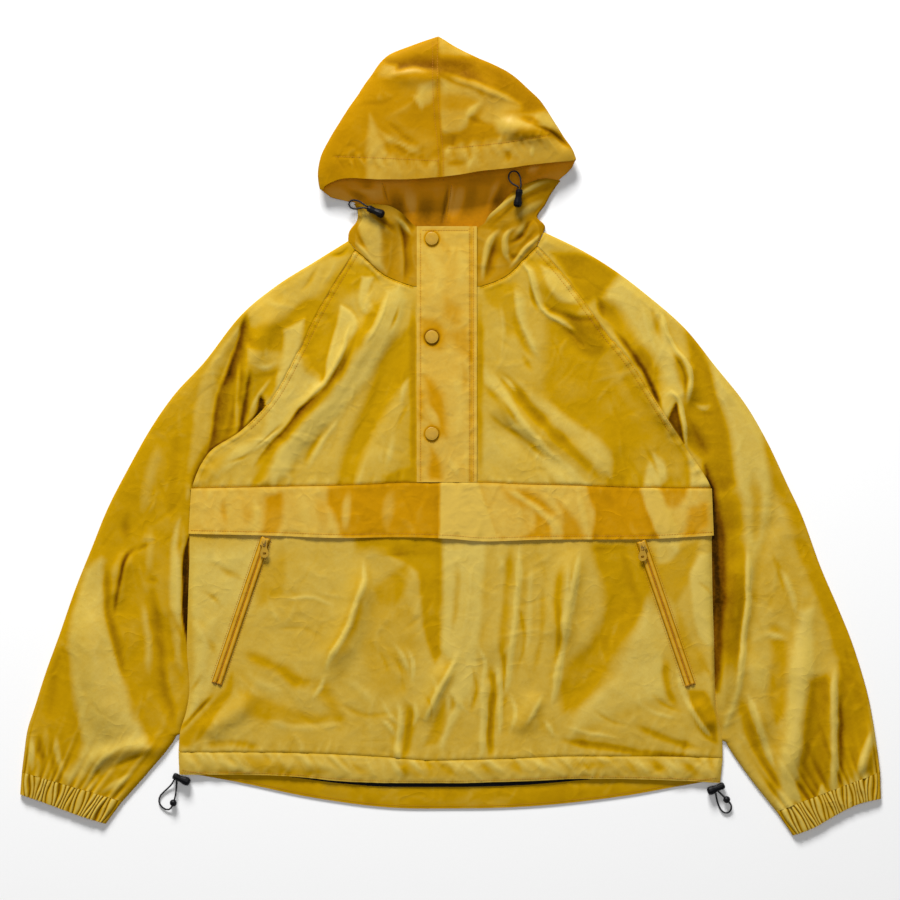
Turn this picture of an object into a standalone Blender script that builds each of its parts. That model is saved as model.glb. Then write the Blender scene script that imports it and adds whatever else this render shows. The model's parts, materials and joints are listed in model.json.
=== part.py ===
"""Anorak pullover, laid flat on its back with the hood above the shoulders.

The frame is +X to the wearer's left as it lies face up, +Y towards the hood and +Z up, and the
origin is under the middle of the garment, on the floor. Tables are in millimetres. Each panel is a
wall of cloth made from a grid of points in its middle, read from sections and seams.
"""

from collections import namedtuple
from math import cos, pi, sin

import bmesh
import bpy
import numpy as np
from mathutils import Vector
from mathutils.bvhtree import BVHTree

MM = 0.001

# Cloth
CLOTH = 1.2  # thickness of the coated cotton wall
SEAM = 0.3  # gap between pieces that are sewn together or lie on each other
FLOOR_LAYER = CLOTH / 2  # height of the middle of the cloth that lies on the floor
EDGE_LAYER = FLOOR_LAYER + CLOTH + SEAM  # middle of the front cloth where it meets the back
FRONT_LAYER = 4.5  # middle of the front cloth where it lies smooth
ROLL = 13.0  # how far the round of a folded side reaches inwards
LOWEST_TROUGH = EDGE_LAYER + 0.1

# Front opening, snaps and pocket flap
SLIT_X = -5.4
PLACKET_LEFT, PLACKET_RIGHT = -41.0, 31.0
PLACKET_TOP, PLACKET_BOTTOM = 254.0, -53.0
FLAT_MARGIN = 5.0  # smooth cloth kept round the placket
SNAP_RADIUS, SNAP_HEIGHT = 8.0, 1.7
SNAP_X = -23.0
SNAP_YS = (239.0, 121.0, 5.0)

# Pocket zips
ZIP_WIDTH, ZIP_THICKNESS = 11.5, 1.2
SLIDER_WIDTH, SLIDER_LENGTH, SLIDER_HEIGHT = 8.4, 10.0, 2.4
BRIDGE_WIDTH, BRIDGE_LENGTH, BRIDGE_HEIGHT, BRIDGE_WALL = 1.5, 4.6, 3.0, 0.8
TAB_LENGTH, TAB_RING_RADIUS, TAB_NECK_WIDTH, TAB_THICKNESS = 20.0, 5.2, 6.0, 0.9
TAB_BAR = 1.3  # width of the bar that lies in the bridge; the tab turns about its middle
TAB_SLOT_WIDTH, TAB_SLOT_LENGTH = 3.9, 6.0
TAB_DROOP = 5.0  # degrees that the tab's free end hangs down at rest

# Hem and hood cords
CORD_DIAMETER = 2.0
CORD_POINTS = 22
BEAD_RADIUS, BEAD_HOLE_RADIUS = 4.2, 1.35

Section = namedtuple("Section", "outer_x outer_y inner_x inner_y")
Edge = namedtuple("Edge", "x y")
Fold = namedtuple("Fold", "from_x from_y to_x to_y bow half_width height")
HoodRib = namedtuple(
    "HoodRib", "base_x base_y base_z crown_x crown_y crown_z brim_x brim_y brim_z"
)
Spot = namedtuple("Spot", "x y z")
LockProfile = namedtuple("LockProfile", "along radius")

# Sleeves: one row for each section from the neck to the cuff seam. "outer" lies on the folded outer
# edge. "inner" lies on the raglan seam down to the underarm, then on the underarm seam.
RAGLAN_SECTIONS = 8
RAGLAN_ROWS, ARM_ROWS = 12, 12  # rows of cloth points above and below the underarm
SLEEVE_SECTIONS = {
    "left": (
        Section(-123, 236.4, -115.5, 226),
        Section(-164, 211, -138, 190),
        Section(-210, 182, -162, 148),
        Section(-253, 146, -184, 103),
        Section(-295, 92, -214, 49),
        Section(-331, 53, -252, 9),
        Section(-361, 10, -291, -18),
        Section(-390, -42, -311, -60),
        Section(-412, -85, -314.8, -104),
        Section(-431, -132, -315.8, -158),
        Section(-451, -182, -317.4, -209),
        Section(-469, -234, -318.3, -254),
        Section(-486, -281, -316, -298),
        Section(-499, -322, -321.5, -333),
        Section(-508, -350, -334, -364),
        Section(-512, -377, -364, -401),
        Section(-515, -401, -395, -436),
    ),
    "right": (
        Section(111.5, 247, 104, 231),
        Section(155, 226, 127, 206),
        Section(193, 203, 152, 174),
        Section(233, 173, 184, 131),
        Section(280, 132, 218, 88),
        Section(317, 86, 249, 39),
        Section(352, 42, 282, -12),
        Section(379, -4, 312, -60),
        Section(403, -55, 314.4, -104),
        Section(422, -96, 315, -158),
        Section(443, -154, 316.2, -212),
        Section(464, -203, 317.8, -260),
        Section(482, -248, 318.6, -302),
        Section(498, -300, 322, -334),
        Section(506, -338, 330, -364),
        Section(512, -377, 358, -406),
        Section(515, -401, 391, -448),
    ),
}
CUFF_EDGES = {
    "left": (Edge(-517, -428), Edge(-493, -434), Edge(-464, -450), Edge(-444, -460), Edge(-408, -458)),
    "right": (Edge(516, -434), Edge(489, -438), Edge(458, -456), Edge(432, -474), Edge(404, -466)),
}
CUFF_PLEATS = {"left": 14, "right": 16}
PLEAT_HEIGHT = 2.2

# Body outline and seams, from -X to +X or from the neck down
NECK_FRONT = {
    "left": (Edge(-115.5, 226), Edge(-104, 217), Edge(-82, 197), Edge(-66, 189), Edge(-46, 182)),
    "right": (Edge(104, 231), Edge(86, 213), Edge(70, 197), Edge(56, 189), Edge(36, 182)),
}
NECK_BACK = (Edge(-115.5, 226), Edge(-76, 214), Edge(-6, 209), Edge(64, 216), Edge(104, 231))
CHEST_SEAM = (
    Edge(-311, -60),
    Edge(-208, -58),
    Edge(-116, -56),
    Edge(-46, -53),
    Edge(36, -53),
    Edge(82, -55),
    Edge(162, -57),
    Edge(216, -59),
    Edge(312, -60),
)
FLAP_EDGE = (
    Edge(-314, -115),
    Edge(-220, -117),
    Edge(-130, -120),
    Edge(-64, -119),
    Edge(0, -121),
    Edge(40, -124),
    Edge(109, -122),
    Edge(242, -121),
    Edge(314, -117),
)
BODY_SIDE = {
    "left": (Edge(-313, -64), Edge(-314, -144), Edge(-316, -209), Edge(-317, -250), Edge(-314, -300),
             Edge(-318, -329), Edge(-325, -352), Edge(-327, -377), Edge(-326, -404)),
    "right": (Edge(313, -64), Edge(313, -120), Edge(314, -187), Edge(316, -250), Edge(317, -300),
              Edge(319, -330), Edge(325, -356), Edge(326, -384), Edge(323, -414)),
}
HEM_SEAM = (Edge(-327, -377), Edge(-181, -378), Edge(-77, -383), Edge(-25, -387), Edge(64, -385),
            Edge(149, -382), Edge(242, -382), Edge(326, -384))
HEM_EDGE = (Edge(-326, -404), Edge(-272, -404), Edge(-194, -406), Edge(-130, -412), Edge(-64, -414),
            Edge(0, -414), Edge(82, -412), Edge(162, -409), Edge(269, -411), Edge(323, -414))
BACK_HEM_SEAM = (Edge(-326, -380), Edge(-258, -389), Edge(-166, -404), Edge(-73, -414), Edge(11, -415),
                 Edge(102, -413), Edge(208, -402), Edge(270, -394), Edge(325, -388))
BACK_HEM_EDGE = (Edge(-325, -401), Edge(-258, -413), Edge(-166, -432), Edge(-73, -444), Edge(11, -445),
                 Edge(102, -442), Edge(208, -430), Edge(270, -419), Edge(322, -410))
LINING_EDGE = (Edge(-193, -407), Edge(-130, -415), Edge(-64, -419), Edge(0, -419), Edge(82, -417),
               Edge(167, -410))
LINING_DEPTH = 12.0
LINING_THICKNESS = 1.0

# Large folds of the front cloth: ridges stand up, troughs (negative) go down
FRONT_FOLDS = (
    Fold(-68, 180, -232, -30, -10, 17, 5.0),
    Fold(-128, 100, -240, -36, 6, 12, -2.2),
    Fold(-62, 118, -134, -46, -8, 13, -2.0),
    Fold(86, 205, 190, 86, -12, 13, 3.2),
    Fold(34, 60, 188, -44, 4, 16, 2.6),
    Fold(36, 26, 150, -46, 0, 13, -1.8),
    Fold(180, 160, 262, 30, 8, 14, -2.3),
    Fold(196, 148, 290, -6, 10, 15, 6.5),
    Fold(262, 112, 292, 36, -6, 11, 4.0),
    Fold(-236, 150, -300, -60, 12, 18, -2.2),
    Fold(-196, 168, -252, 40, 10, 15, 4.5),
    Fold(-370, -60, -395, -230, 8, 20, -2.0),
    Fold(-436, -190, -398, -372, 10, 22, 6.5),
    Fold(-350, -205, -336, -345, -6, 15, -2.1),
    Fold(-384, -134, -404, -206, 4, 12, 3.8),
    Fold(-340, -372, -440, -394, 8, 10, 3.6),
    Fold(356, -120, 330, -352, 12, 17, 6.5),
    Fold(398, -80, 346, -200, 8, 15, -2.1),
    Fold(416, -232, 396, -428, -14, 19, 6.0),
    Fold(350, -246, 376, -372, -6, 13, 4.2),
    Fold(462, -262, 458, -420, 6, 12, 4.0),
    Fold(506, -330, 484, -410, -8, 10, 3.4),
    Fold(-104, -150, -150, -286, -8, 15, 5.5),
    Fold(0, -268, -30, -344, 4, 12, 3.6),
    Fold(148, -130, 134, -258, 6, 15, 4.4),
    Fold(56, -250, 60, -376, -6, 15, -2.0),
    Fold(106, -306, 80, -356, 0, 11, 3.0),
    Fold(218, -158, 138, -326, -6, 13, -1.9),
    Fold(-232, -306, -312, -356, -6, 12, 3.4),
    Fold(292, -310, 320, -350, 5, 10, 3.4),
    Fold(-66, -366, -52, -408, 0, 6, 2.2),
)

# Hood: one row for each rib, from the centre seam round to the corner of the face opening. A rib
# starts at "base" (neck seam, side fold or lower rim), runs over the floor to the crown's outline,
# turns over it at "crown" and ends at the brim.
HOOD_RIBS = {
    "left": (
        HoodRib(-5.6, 210.5, 0.6, -16, 480, 11, -12, 311, 26),
        HoodRib(-36, 211.5, 0.6, -47, 469, 11, -38, 309, 26),
        HoodRib(-66, 213.5, 0.6, -78, 456, 11, -62, 308, 25.5),
        HoodRib(-94, 219, 0.6, -98, 430, 11, -84, 308, 25),
        HoodRib(-121.2, 237, 0.6, -113, 408, 11, -101, 309, 24),
        HoodRib(-120.4, 256, 0.6, -130, 383, 11, -118, 310, 22.5),
        HoodRib(-123.3, 281, 0.8, -143, 362, 11, -132, 309, 20.5),
        HoodRib(-131, 284, 1.6, -155, 337, 10.5, -144, 305, 17),
        HoodRib(-142, 286.5, 3.5, -159, 314, 10, -151, 301, 14.5),
        HoodRib(-151, 289, 5.5, -158.5, 298, 9.5, -154, 297, 12.5),
    ),
    "right": (
        HoodRib(-5.2, 210.5, 0.6, -15.4, 480, 11, -11.4, 311, 26),
        HoodRib(25, 212.5, 0.6, 14, 463, 11, 12, 314, 26),
        HoodRib(54, 216, 0.6, 48, 448, 11, 35, 318, 26),
        HoodRib(80, 223.5, 0.6, 71, 436, 11, 54, 320, 25.5),
        HoodRib(108.9, 248.2, 0.6, 92, 418, 11, 72, 322, 25),
        HoodRib(111, 266, 0.6, 108, 402, 11, 90, 325, 24),
        HoodRib(114.5, 287, 0.6, 120, 383, 11, 106, 327, 22.5),
        HoodRib(129, 309, 1.2, 133, 363, 11, 122, 329, 20),
        HoodRib(139, 318, 3.0, 144, 347, 10.5, 135, 330.5, 16.5),
        HoodRib(145, 325, 5.5, 149.5, 334, 9.5, 145, 331.5, 13.5),
    ),
}
# Ribs between which the hood turns forward at the side of the neck
SIDE_RIBS = {"left": (4, 6), "right": (4, 7)}
SIDE_TURN = 1.9  # radius of that turn
SHOULDER_DIP = {"left": 2.8, "right": 4.0}  # how far the turn's top reaches down to the sleeve
# The neck is drawn in at the sides: middle and half width along Y, share of X taken away
Waist = namedtuple("Waist", "y half_width share")
NECK_WAIST = {"left": Waist(270, 22, 0.095), "right": Waist(266, 11, 0.085)}
# Lower rim of the face opening, from the side fold to the front opening, with its height
HOOD_RIM = {
    "left": (Spot(-90, 279.5, 9.5), Spot(-76, 277, 10.5), Spot(-63, 268, 7.5), Spot(-50, 257.5, 4.5),
             Spot(-40, 252.5, 4.5), Spot(SLIT_X - SEAM, 252, 4.5)),
    "right": (Spot(115, 311, 9), Spot(92, 305, 12), Spot(71, 292, 13), Spot(55, 273, 8.5),
              Spot(40, 257, 4.5), Spot(30, 252.5, 4.5), Spot(SLIT_X + SEAM, 252, 4.5)),
}
HOOD_FOLDS = (
    Fold(-80, 433, 8, 436, 4, 10, 3.0),
    Fold(0, 434, 64, 402, -3, 10, 3.0),
    Fold(54, 374, 134, 362, 3, 12, 5.5),
    Fold(100, 372, 146, 346, 0, 8, -4.0),
)

HOOD_SQUARENESS = 0.75
HOOD_BACK_STEPS = (0.0, 0.06, 0.13, 0.22, 0.4, 0.62, 0.8, 0.93, 1.0)  # rows of a rib up to its crown
HOOD_FRONT_ROWS, HOOD_SIDE_ROWS = 11, 9

# Zips: the line that each one follows, top first
ZIP_LINES = {
    "left": (Edge(-222, -119.5), Edge(-281, -294)),
    "right": (Edge(228, -123.5), Edge(287, -296)),
}

# Cord locks, turned shapes that lie on their side: middle, direction of the long axis in degrees
LOCK_PROFILE = (
    LockProfile(-11.0, 2.2),
    LockProfile(-10.2, 3.7),
    LockProfile(-7.5, 4.3),
    LockProfile(-4.5, 3.9),
    LockProfile(-1.5, 3.6),
    LockProfile(1.5, 4.2),
    LockProfile(4.5, 5.0),
    LockProfile(8.0, 5.0),
    LockProfile(10.2, 3.8),
    LockProfile(11.0, 2.0),
)
LOCK_REACH = 7.0  # how far from its middle a lock touches the cloth under it
Lock = namedtuple("Lock", "x y turn on")
LOCKS = {
    "hem_lock_left": Lock(-323.5, -409.4, -24, ()),
    "hem_lock_right": Lock(318.0, -420.6, 203, ()),
    "hood_lock_left": Lock(-90.0, 271.0, -24, ("hood_left",)),
    "hood_lock_right": Lock(80.5, 286.8, -97, ("hood_right",)),
}
# Cord loops: the route of each one, out of its lock and back into it
CORD_ROUTES = {
    "hem_cord_left": (
        Spot(-329.2, -411.5, 4.6), Spot(-329.6, -417.2, 3.4), Spot(-330.3, -425, 2.8),
        Spot(-331.8, -433.6, 4.0), Spot(-333.4, -438, 4.2), Spot(-335.0, -442.4, 4.0),
        Spot(-339.6, -446.6, 1.8), Spot(-346, -444.4, 1.05), Spot(-350.6, -438, 1.05),
        Spot(-350, -431, 1.05), Spot(-345.4, -425.6, 1.05), Spot(-339.4, -420, 1.7),
        Spot(-334.9, -415, 3.2), Spot(-332.4, -410.6, 4.6),
    ),
    "hem_cord_right": (
        Spot(320.9, -423.9, 4.6), Spot(323.4, -426.6, 4.4), Spot(327.1, -430.1, 4.3), Spot(331, -434, 4.2),
        Spot(333.9, -437, 4.2), Spot(336.6, -441.4, 3.0), Spot(336.2, -446.6, 1.6),
        Spot(332.8, -450.2, 1.05), Spot(328.2, -450, 1.05), Spot(324, -446, 1.05),
        Spot(321, -439.6, 1.05), Spot(319, -433, 2.2), Spot(317.8, -426.1, 4.6),
    ),
    "hood_cord_left": (
        Spot(-100.9, 274.5, 13.3), Spot(-103.6, 275.6, 12.8), Spot(-108.6, 275.4, 11.4),
        Spot(-114.6, 274.4, 9.6), Spot(-119.8, 276, 8.6), Spot(-122.4, 280.2, 8.4),
        Spot(-120.4, 284.2, 8.8), Spot(-115.2, 285, 9.8), Spot(-109.6, 283.2, 11.2),
        Spot(-104.4, 279.6, 12.6), Spot(-99.9, 276.8, 13.4),
    ),
    "hood_cord_right": (
        Spot(80.7, 298.2, 18.4), Spot(79.9, 300.2, 18.5), Spot(76.4, 302, 18.8), Spot(72, 304.8, 19),
        Spot(69, 309.5, 19), Spot(69.6, 315.2, 19), Spot(73.8, 318.8, 19), Spot(79, 317.6, 18.9),
        Spot(82.2, 312.5, 18.8), Spot(83.4, 306, 18.6), Spot(83.5, 301.5, 18.5), Spot(83.1, 298, 18.4),
    ),
}
Bead = namedtuple("Bead", "x y z heading")
BEADS = {
    "hem_bead_left": Bead(-333.4, -438, 4.2, 70),
    "hem_bead_right": Bead(331, -434, 4.2, -46),
}


def smooth(rows, count):
    """Points, evenly spaced, on a smooth curve through the rows of a table."""
    knots = np.array(rows, float)
    steps = np.linalg.norm(np.diff(knots, axis=0), axis=1)
    along = np.concatenate([[0.0], np.cumsum(steps)])
    return smooth_at(along, knots, np.linspace(0.0, along[-1], count))


def round_curve(rows, count):
    """Points, evenly spaced, on a round curve through the rows of a route."""
    knots = np.array(rows, float)
    steps = np.linalg.norm(np.diff(knots, axis=0), axis=1)
    along = np.concatenate([[0.0], np.cumsum(steps)])
    fine = smooth_at(along, knots, np.linspace(0.0, along[-1], 12 * count), limited=False)
    lengths = np.concatenate([[0.0], np.cumsum(np.linalg.norm(np.diff(fine, axis=0), axis=1))])
    wanted = np.linspace(0.0, lengths[-1], count)
    return np.stack([np.interp(wanted, lengths, fine[:, axis]) for axis in range(3)], axis=1)


def smooth_at(places, values, wanted, limited=True):
    """Values at the wanted places, on a smooth curve through known places.

    A limited curve never overshoots its places, as suits an outline.
    """
    places = np.asarray(places, float)
    values = np.asarray(values, float)
    if values.ndim == 1:
        return smooth_at(places, values[:, None], wanted, limited)[:, 0]
    gaps = np.diff(places)[:, None]
    slopes = np.diff(values, axis=0) / gaps
    tangents = np.vstack([slopes[:1], (slopes[1:] + slopes[:-1]) / 2, slopes[-1:]])
    if limited:
        tangents[1:-1][slopes[1:] * slopes[:-1] <= 0] = 0
    index = np.clip(np.searchsorted(places, wanted, side="right") - 1, 0, len(gaps) - 1)
    width = gaps[index]
    part = ((np.asarray(wanted, float) - places[index])[:, None]) / width
    start, end = values[index], values[index + 1]
    leave, arrive = tangents[index] * width, tangents[index + 1] * width
    return (
        (2 * part**3 - 3 * part**2 + 1) * start
        + (part**3 - 2 * part**2 + part) * leave
        + (3 * part**2 - 2 * part**3) * end
        + (part**3 - part**2) * arrive
    )


def step_up(low, high, value):
    """0 below low, 1 above high and smooth between."""
    part = np.clip((value - low) / (high - low), 0.0, 1.0)
    return part * part * (3 - 2 * part)


def fold_height(x, y, folds):
    """How far a set of folds lifts or sinks the cloth at each point."""
    total = np.zeros_like(x, dtype=float)
    for fold in folds:
        run_x, run_y = fold.to_x - fold.from_x, fold.to_y - fold.from_y
        length = np.hypot(run_x, run_y)
        part = ((x - fold.from_x) * run_x + (y - fold.from_y) * run_y) / length**2
        aside = ((x - fold.from_x) * run_y - (y - fold.from_y) * run_x) / length
        aside = aside - fold.bow * 4 * part * (1 - part)
        ends = step_up(-0.05, 0.3, part) * step_up(-0.05, 0.3, 1 - part)
        total += fold.height * ends * np.exp(-((aside / fold.half_width) ** 2))
    return total


def smooth_zone(x, y):
    """1 on open cloth, 0 under the placket and along the zips, where the cloth lies smooth."""
    beside = np.maximum(PLACKET_LEFT - FLAT_MARGIN - x, x - PLACKET_RIGHT - FLAT_MARGIN)
    free = np.where(y > PLACKET_BOTTOM - 12, step_up(0.0, 18.0, beside), 1.0)
    for top, bottom in ZIP_LINES.values():
        run = np.array([bottom.x - top.x, bottom.y - top.y])
        part = ((x - top.x) * run[0] + (y - top.y) * run[1]) / (run @ run)
        part = np.clip(part, 0.0, 1.0)
        away = np.hypot(x - top.x - part * run[0], y - top.y - part * run[1])
        free = free * step_up(14.0, 30.0, away)
    return free


def front_height(x, y):
    """Height of the middle of the front cloth, folds included."""
    folds = fold_height(x, y, FRONT_FOLDS) * smooth_zone(x, y)
    return np.maximum(FRONT_LAYER + folds, LOWEST_TROUGH)


def rolled(height, edge_height, distance, reach=ROLL):
    """Rounds the cloth down to edge_height at a folded side, a quarter of an ellipse wide."""
    part = np.clip(distance / reach, 0.0, 1.0)
    return edge_height + (height - edge_height) * np.sqrt(1 - (1 - part) ** 2)


def coons(bottom, top, left, right):
    """Grid of plan points filling four edges; rows run from bottom to top."""
    rows, columns = len(left), len(bottom)
    v = np.linspace(0, 1, rows)[:, None, None]
    u = np.linspace(0, 1, columns)[None, :, None]
    corners = (
        (1 - u) * (1 - v) * bottom[0]
        + u * (1 - v) * bottom[-1]
        + (1 - u) * v * top[0]
        + u * v * top[-1]
    )
    across = (1 - v) * bottom[None] + v * top[None]
    up = (1 - u) * left[:, None] + u * right[:, None]
    return across + up - corners


def cells_of(points):
    """Row and column of each cell of a grid whose four corners are all there."""
    there = ~np.isnan(points[..., 0])
    whole = there[:-1, :-1] & there[1:, :-1] & there[:-1, 1:] & there[1:, 1:]
    return np.argwhere(whole)


def grid_normals(points):
    """Unit normals of a grid of points, the mean of the cells round each one."""
    normals = np.zeros_like(points)
    for row, column in cells_of(points):
        low, right = points[row, column], points[row, column + 1]
        up, far = points[row + 1, column], points[row + 1, column + 1]
        facing = np.cross(far - low, up - right)
        facing = facing / np.linalg.norm(facing)
        normals[row : row + 2, column : column + 2] += facing
    length = np.linalg.norm(normals, axis=2, keepdims=True)
    return normals / np.where(length > 0, length, 1)


def moved_out(points, distance):
    """Grid moved along its normals, for what lies on a panel."""
    return points + grid_normals(points) * np.asarray(distance)[..., None]


def new_material(name, colour, roughness, metallic=0.0):
    material = bpy.data.materials.new(name)
    material.use_nodes = True
    shader = material.node_tree.nodes["Principled BSDF"]
    shader.inputs["Base Color"].default_value = (*colour, 1.0)
    shader.inputs["Roughness"].default_value = roughness
    shader.inputs["Metallic"].default_value = metallic
    return material


def add_object(name, mesh, material):
    mesh.materials.append(material)
    piece = bpy.data.objects.new(name, mesh)
    bpy.context.scene.collection.objects.link(piece)
    return piece


def cloth_wall(name, points, material, thickness=CLOTH, outside=None):
    """Closed wall of cloth round a grid of middle points, normals out.

    "outside" raises the outer face of each point on its own, over a plain inner face.
    """
    rows, columns = points.shape[:2]
    normals = grid_normals(points)
    raised = np.zeros((rows, columns)) if outside is None else outside
    there = ~np.isnan(points[..., 0])
    number = np.cumsum(there.reshape(-1)).reshape(rows, columns) - 1
    count = int(there.sum())
    upper = (points + normals * (thickness / 2 + raised)[..., None])[there]
    lower = (points - normals * thickness / 2)[there]
    mesh_points = np.concatenate([upper, lower]) * MM

    faces = []
    sides = {}
    for row, column in cells_of(points):
        ring = (number[row, column], number[row, column + 1], number[row + 1, column + 1],
                number[row + 1, column])
        faces.append(ring)
        faces.append(tuple(count + corner for corner in reversed(ring)))
        for here, then in zip(ring, ring[1:] + ring[:1]):
            sides[(here, then)] = True
    for here, then in sides:
        if (then, here) not in sides:
            faces.append((then, here, count + here, count + then))
    mesh = bpy.data.meshes.new(name)
    mesh.from_pydata([tuple(point) for point in mesh_points], [], faces)
    mesh.validate()
    mesh.shade_smooth()
    mesh.set_sharp_from_angle(angle=0.9)
    return add_object(name, mesh, material)


def lay_flat(plan, height):
    """Grid of points at one height, or at a height for each point."""
    heights = np.broadcast_to(height, plan.shape[:2])
    return np.concatenate([plan, heights[..., None]], axis=2)


def inset(points, shift_x, shift_y=0.0):
    return points + np.array([shift_x, shift_y])


def sleeve_edges(side):
    """Outer and inner edge of a sleeve, row by row from the neck to the cuff seam."""
    sections = np.array(SLEEVE_SECTIONS[side], float)
    underarm, cuff = RAGLAN_SECTIONS - 1, len(sections) - 1
    upper = np.linspace(0, underarm, RAGLAN_ROWS)
    lower = np.linspace(underarm, cuff, ARM_ROWS + 1)[1:]
    values = smooth_at(np.arange(cuff + 1), sections, np.concatenate([upper, lower]))
    return values[:, :2], values[:, 2:]


def raglan_seam(side):
    """The raglan seam from the underarm up to the neck, shared by sleeve, chest and back."""
    return sleeve_edges(side)[1][:RAGLAN_ROWS][::-1]


def part_of(rows, from_x, to_x, count):
    """Evenly spaced points of a seam between two places along X."""
    knots = np.array(rows, float)
    xs = np.linspace(from_x, to_x, count)
    return np.stack([xs, smooth_at(knots[:, 0], knots[:, 1], xs)], axis=1)


def make_back(cloth):
    columns = 9
    sides = {}
    for side, away in (("left", 1), ("right", -1)):
        seam = raglan_seam(side)
        lower = smooth(BODY_SIDE[side][:-1], 7)
        lower[-1] = BACK_HEM_SEAM[0 if side == "left" else -1]
        line = np.concatenate([lower[::-1][:-1], seam])
        sides[side] = inset(line, SEAM * away)
    bottom = smooth(BACK_HEM_SEAM, columns)
    top = inset(smooth(NECK_BACK, columns), 0, -SEAM)
    bottom[0], bottom[-1] = sides["left"][0], sides["right"][0]
    top[0], top[-1] = sides["left"][-1], sides["right"][-1]
    plan = coons(bottom, top, sides["left"], sides["right"])
    cloth_wall("back_panel", lay_flat(plan, FLOOR_LAYER), cloth)


CHEST_COLUMNS = 14


def make_chest(side, cloth):
    """One front panel above the flap: open cloth up to the placket, smooth cloth under it."""
    away = 1 if side == "left" else -1
    placket_side = PLACKET_LEFT - FLAT_MARGIN if side == "left" else PLACKET_RIGHT + FLAT_MARGIN
    seam = inset(raglan_seam(side), SEAM * away * 0.8)
    rows = len(seam)
    corner = seam[0]
    bottom = part_of(CHEST_SEAM, corner[0], placket_side, CHEST_COLUMNS)
    neck = inset(smooth(NECK_FRONT[side], CHEST_COLUMNS), 0, -SEAM)
    neck[0] = seam[-1]
    bottom[0] = corner
    inner = np.stack([np.full(rows, placket_side), np.linspace(bottom[-1, 1], neck[-1, 1], rows)], axis=1)
    open_cloth = coons(bottom, neck, seam, inner)
    slit = SLIT_X - SEAM * away
    under = np.linspace(placket_side, slit, 4)[1:]
    flat_part = np.stack(
        [np.broadcast_to(under, (rows, 3)), np.broadcast_to(inner[:, 1:], (rows, 3))], axis=2
    )
    plan = np.concatenate([open_cloth, flat_part], axis=1)
    if side == "right":
        plan = plan[:, ::-1]
    height = front_height(plan[..., 0], plan[..., 1])
    return cloth_wall(f"chest_{side}", lay_flat(plan, height), cloth)


FLAP_ROWS = 5
BODY_COLUMNS = 33


def lower_front_points():
    """Middle points of the lower front; its upper rows are those that the pocket flap covers."""
    columns = BODY_COLUMNS
    top = inset(part_of(CHEST_SEAM, -311, 312, columns), 0, -2 * SEAM)
    flap = part_of(FLAP_EDGE, -314, 314, columns)
    seam = inset(smooth(HEM_SEAM, columns), 0, SEAM)
    upper = [flap + (top - flap) * part for part in np.linspace(0, 1, FLAP_ROWS)]
    left = smooth(BODY_SIDE["left"][1:-1], 12)
    right = smooth(BODY_SIDE["right"][1:-1], 12)
    left[0], right[0] = flap[0], flap[-1]
    left[-1], right[-1] = seam[0], seam[-1]
    lower = coons(seam, flap, left[::-1], right[::-1])
    plan = np.concatenate([lower[:-1], np.stack(upper)])
    x, y = plan[..., 0], plan[..., 1]
    to_side = np.minimum(x - x[:, :1], x[:, -1:] - x)
    return lay_flat(plan, rolled(front_height(x, y), EDGE_LAYER, to_side))


def make_lower_front(cloth):
    return cloth_wall("front_lower", lower_front_points(), cloth)


def make_flap(cloth):
    """Pocket flap: the points of the cloth under it, moved out, with puckers along its edge."""
    base = lower_front_points()[-FLAP_ROWS:]
    columns = base.shape[1]
    pucker = np.abs(np.sin(np.linspace(0, 5.3 * pi, columns))) * 1.0
    drop = np.linspace(1.0, 0.25, FLAP_ROWS)[:, None]
    lift = CLOTH + SEAM + 0.15 + drop * pucker[None]
    return cloth_wall("pocket_flap", moved_out(base, lift), cloth)


def make_hems(cloth, lining):
    columns = BODY_COLUMNS
    seam = inset(smooth(HEM_SEAM, columns), 0, -SEAM)
    edge = smooth(HEM_EDGE, columns)
    plan = np.stack([edge + (seam - edge) * part for part in (0, 0.1, 0.5, 0.9, 1)])
    x, y = plan[..., 0], plan[..., 1]
    to_side = np.minimum(x - x[:, :1], x[:, -1:] - x)
    channel = np.array([-0.4, 0.1, 0.9, 0.1, 0.0])[:, None]
    height = rolled(front_height(x, y) + channel, EDGE_LAYER, to_side)
    cloth_wall("hem_front", lay_flat(plan, height), cloth)

    seam = inset(smooth(BACK_HEM_SEAM, columns), 0, -SEAM * 1.4)
    edge = smooth(BACK_HEM_EDGE, columns)
    plan = np.stack([edge + (seam - edge) * part for part in (0, 0.5, 1)])
    cloth_wall("hem_back", lay_flat(plan, FLOOR_LAYER), cloth)

    edge = smooth(LINING_EDGE, 25)
    plan = np.stack([inset(edge, 0, rise) for rise in (0, LINING_DEPTH)])
    middle = CLOTH + SEAM + LINING_THICKNESS / 2
    cloth_wall("lining_edge", lay_flat(plan, middle), lining, LINING_THICKNESS)


def sleeve_ring(outer, inner, closed_under, front_columns, back_columns, height_at=front_height):
    """One section of a sleeve: inner back edge, floor, outer fold, front, inner front edge."""
    run = outer - inner
    width = np.linalg.norm(run)
    aside = run / width
    turn = (EDGE_LAYER + 1.2 - FLOOR_LAYER) / 2
    reach = min(ROLL, width * 0.45)
    ring = [(*(inner + aside * (width - turn) * part), FLOOR_LAYER) for part in np.linspace(0, 1, back_columns)]
    for angle in (-45, 0, 45):
        angle = angle * pi / 180
        tip = outer - aside * turn * (1 - cos(angle))
        ring.append((*tip, FLOOR_LAYER + turn * (1 + sin(angle))))
    fold_top = FLOOR_LAYER + 2 * turn
    for part in np.linspace(0, 1, front_columns) ** 1.15:
        to_outer = turn + (width - turn) * part
        point = outer - aside * to_outer
        height = float(height_at(point[0], point[1]))
        height = float(rolled(height, fold_top, to_outer - turn, reach))
        if closed_under > 0:
            rounded = float(rolled(height, EDGE_LAYER, width - to_outer, reach))
            height += (rounded - height) * closed_under
        ring.append((point[0], point[1], height))
    return ring


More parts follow.
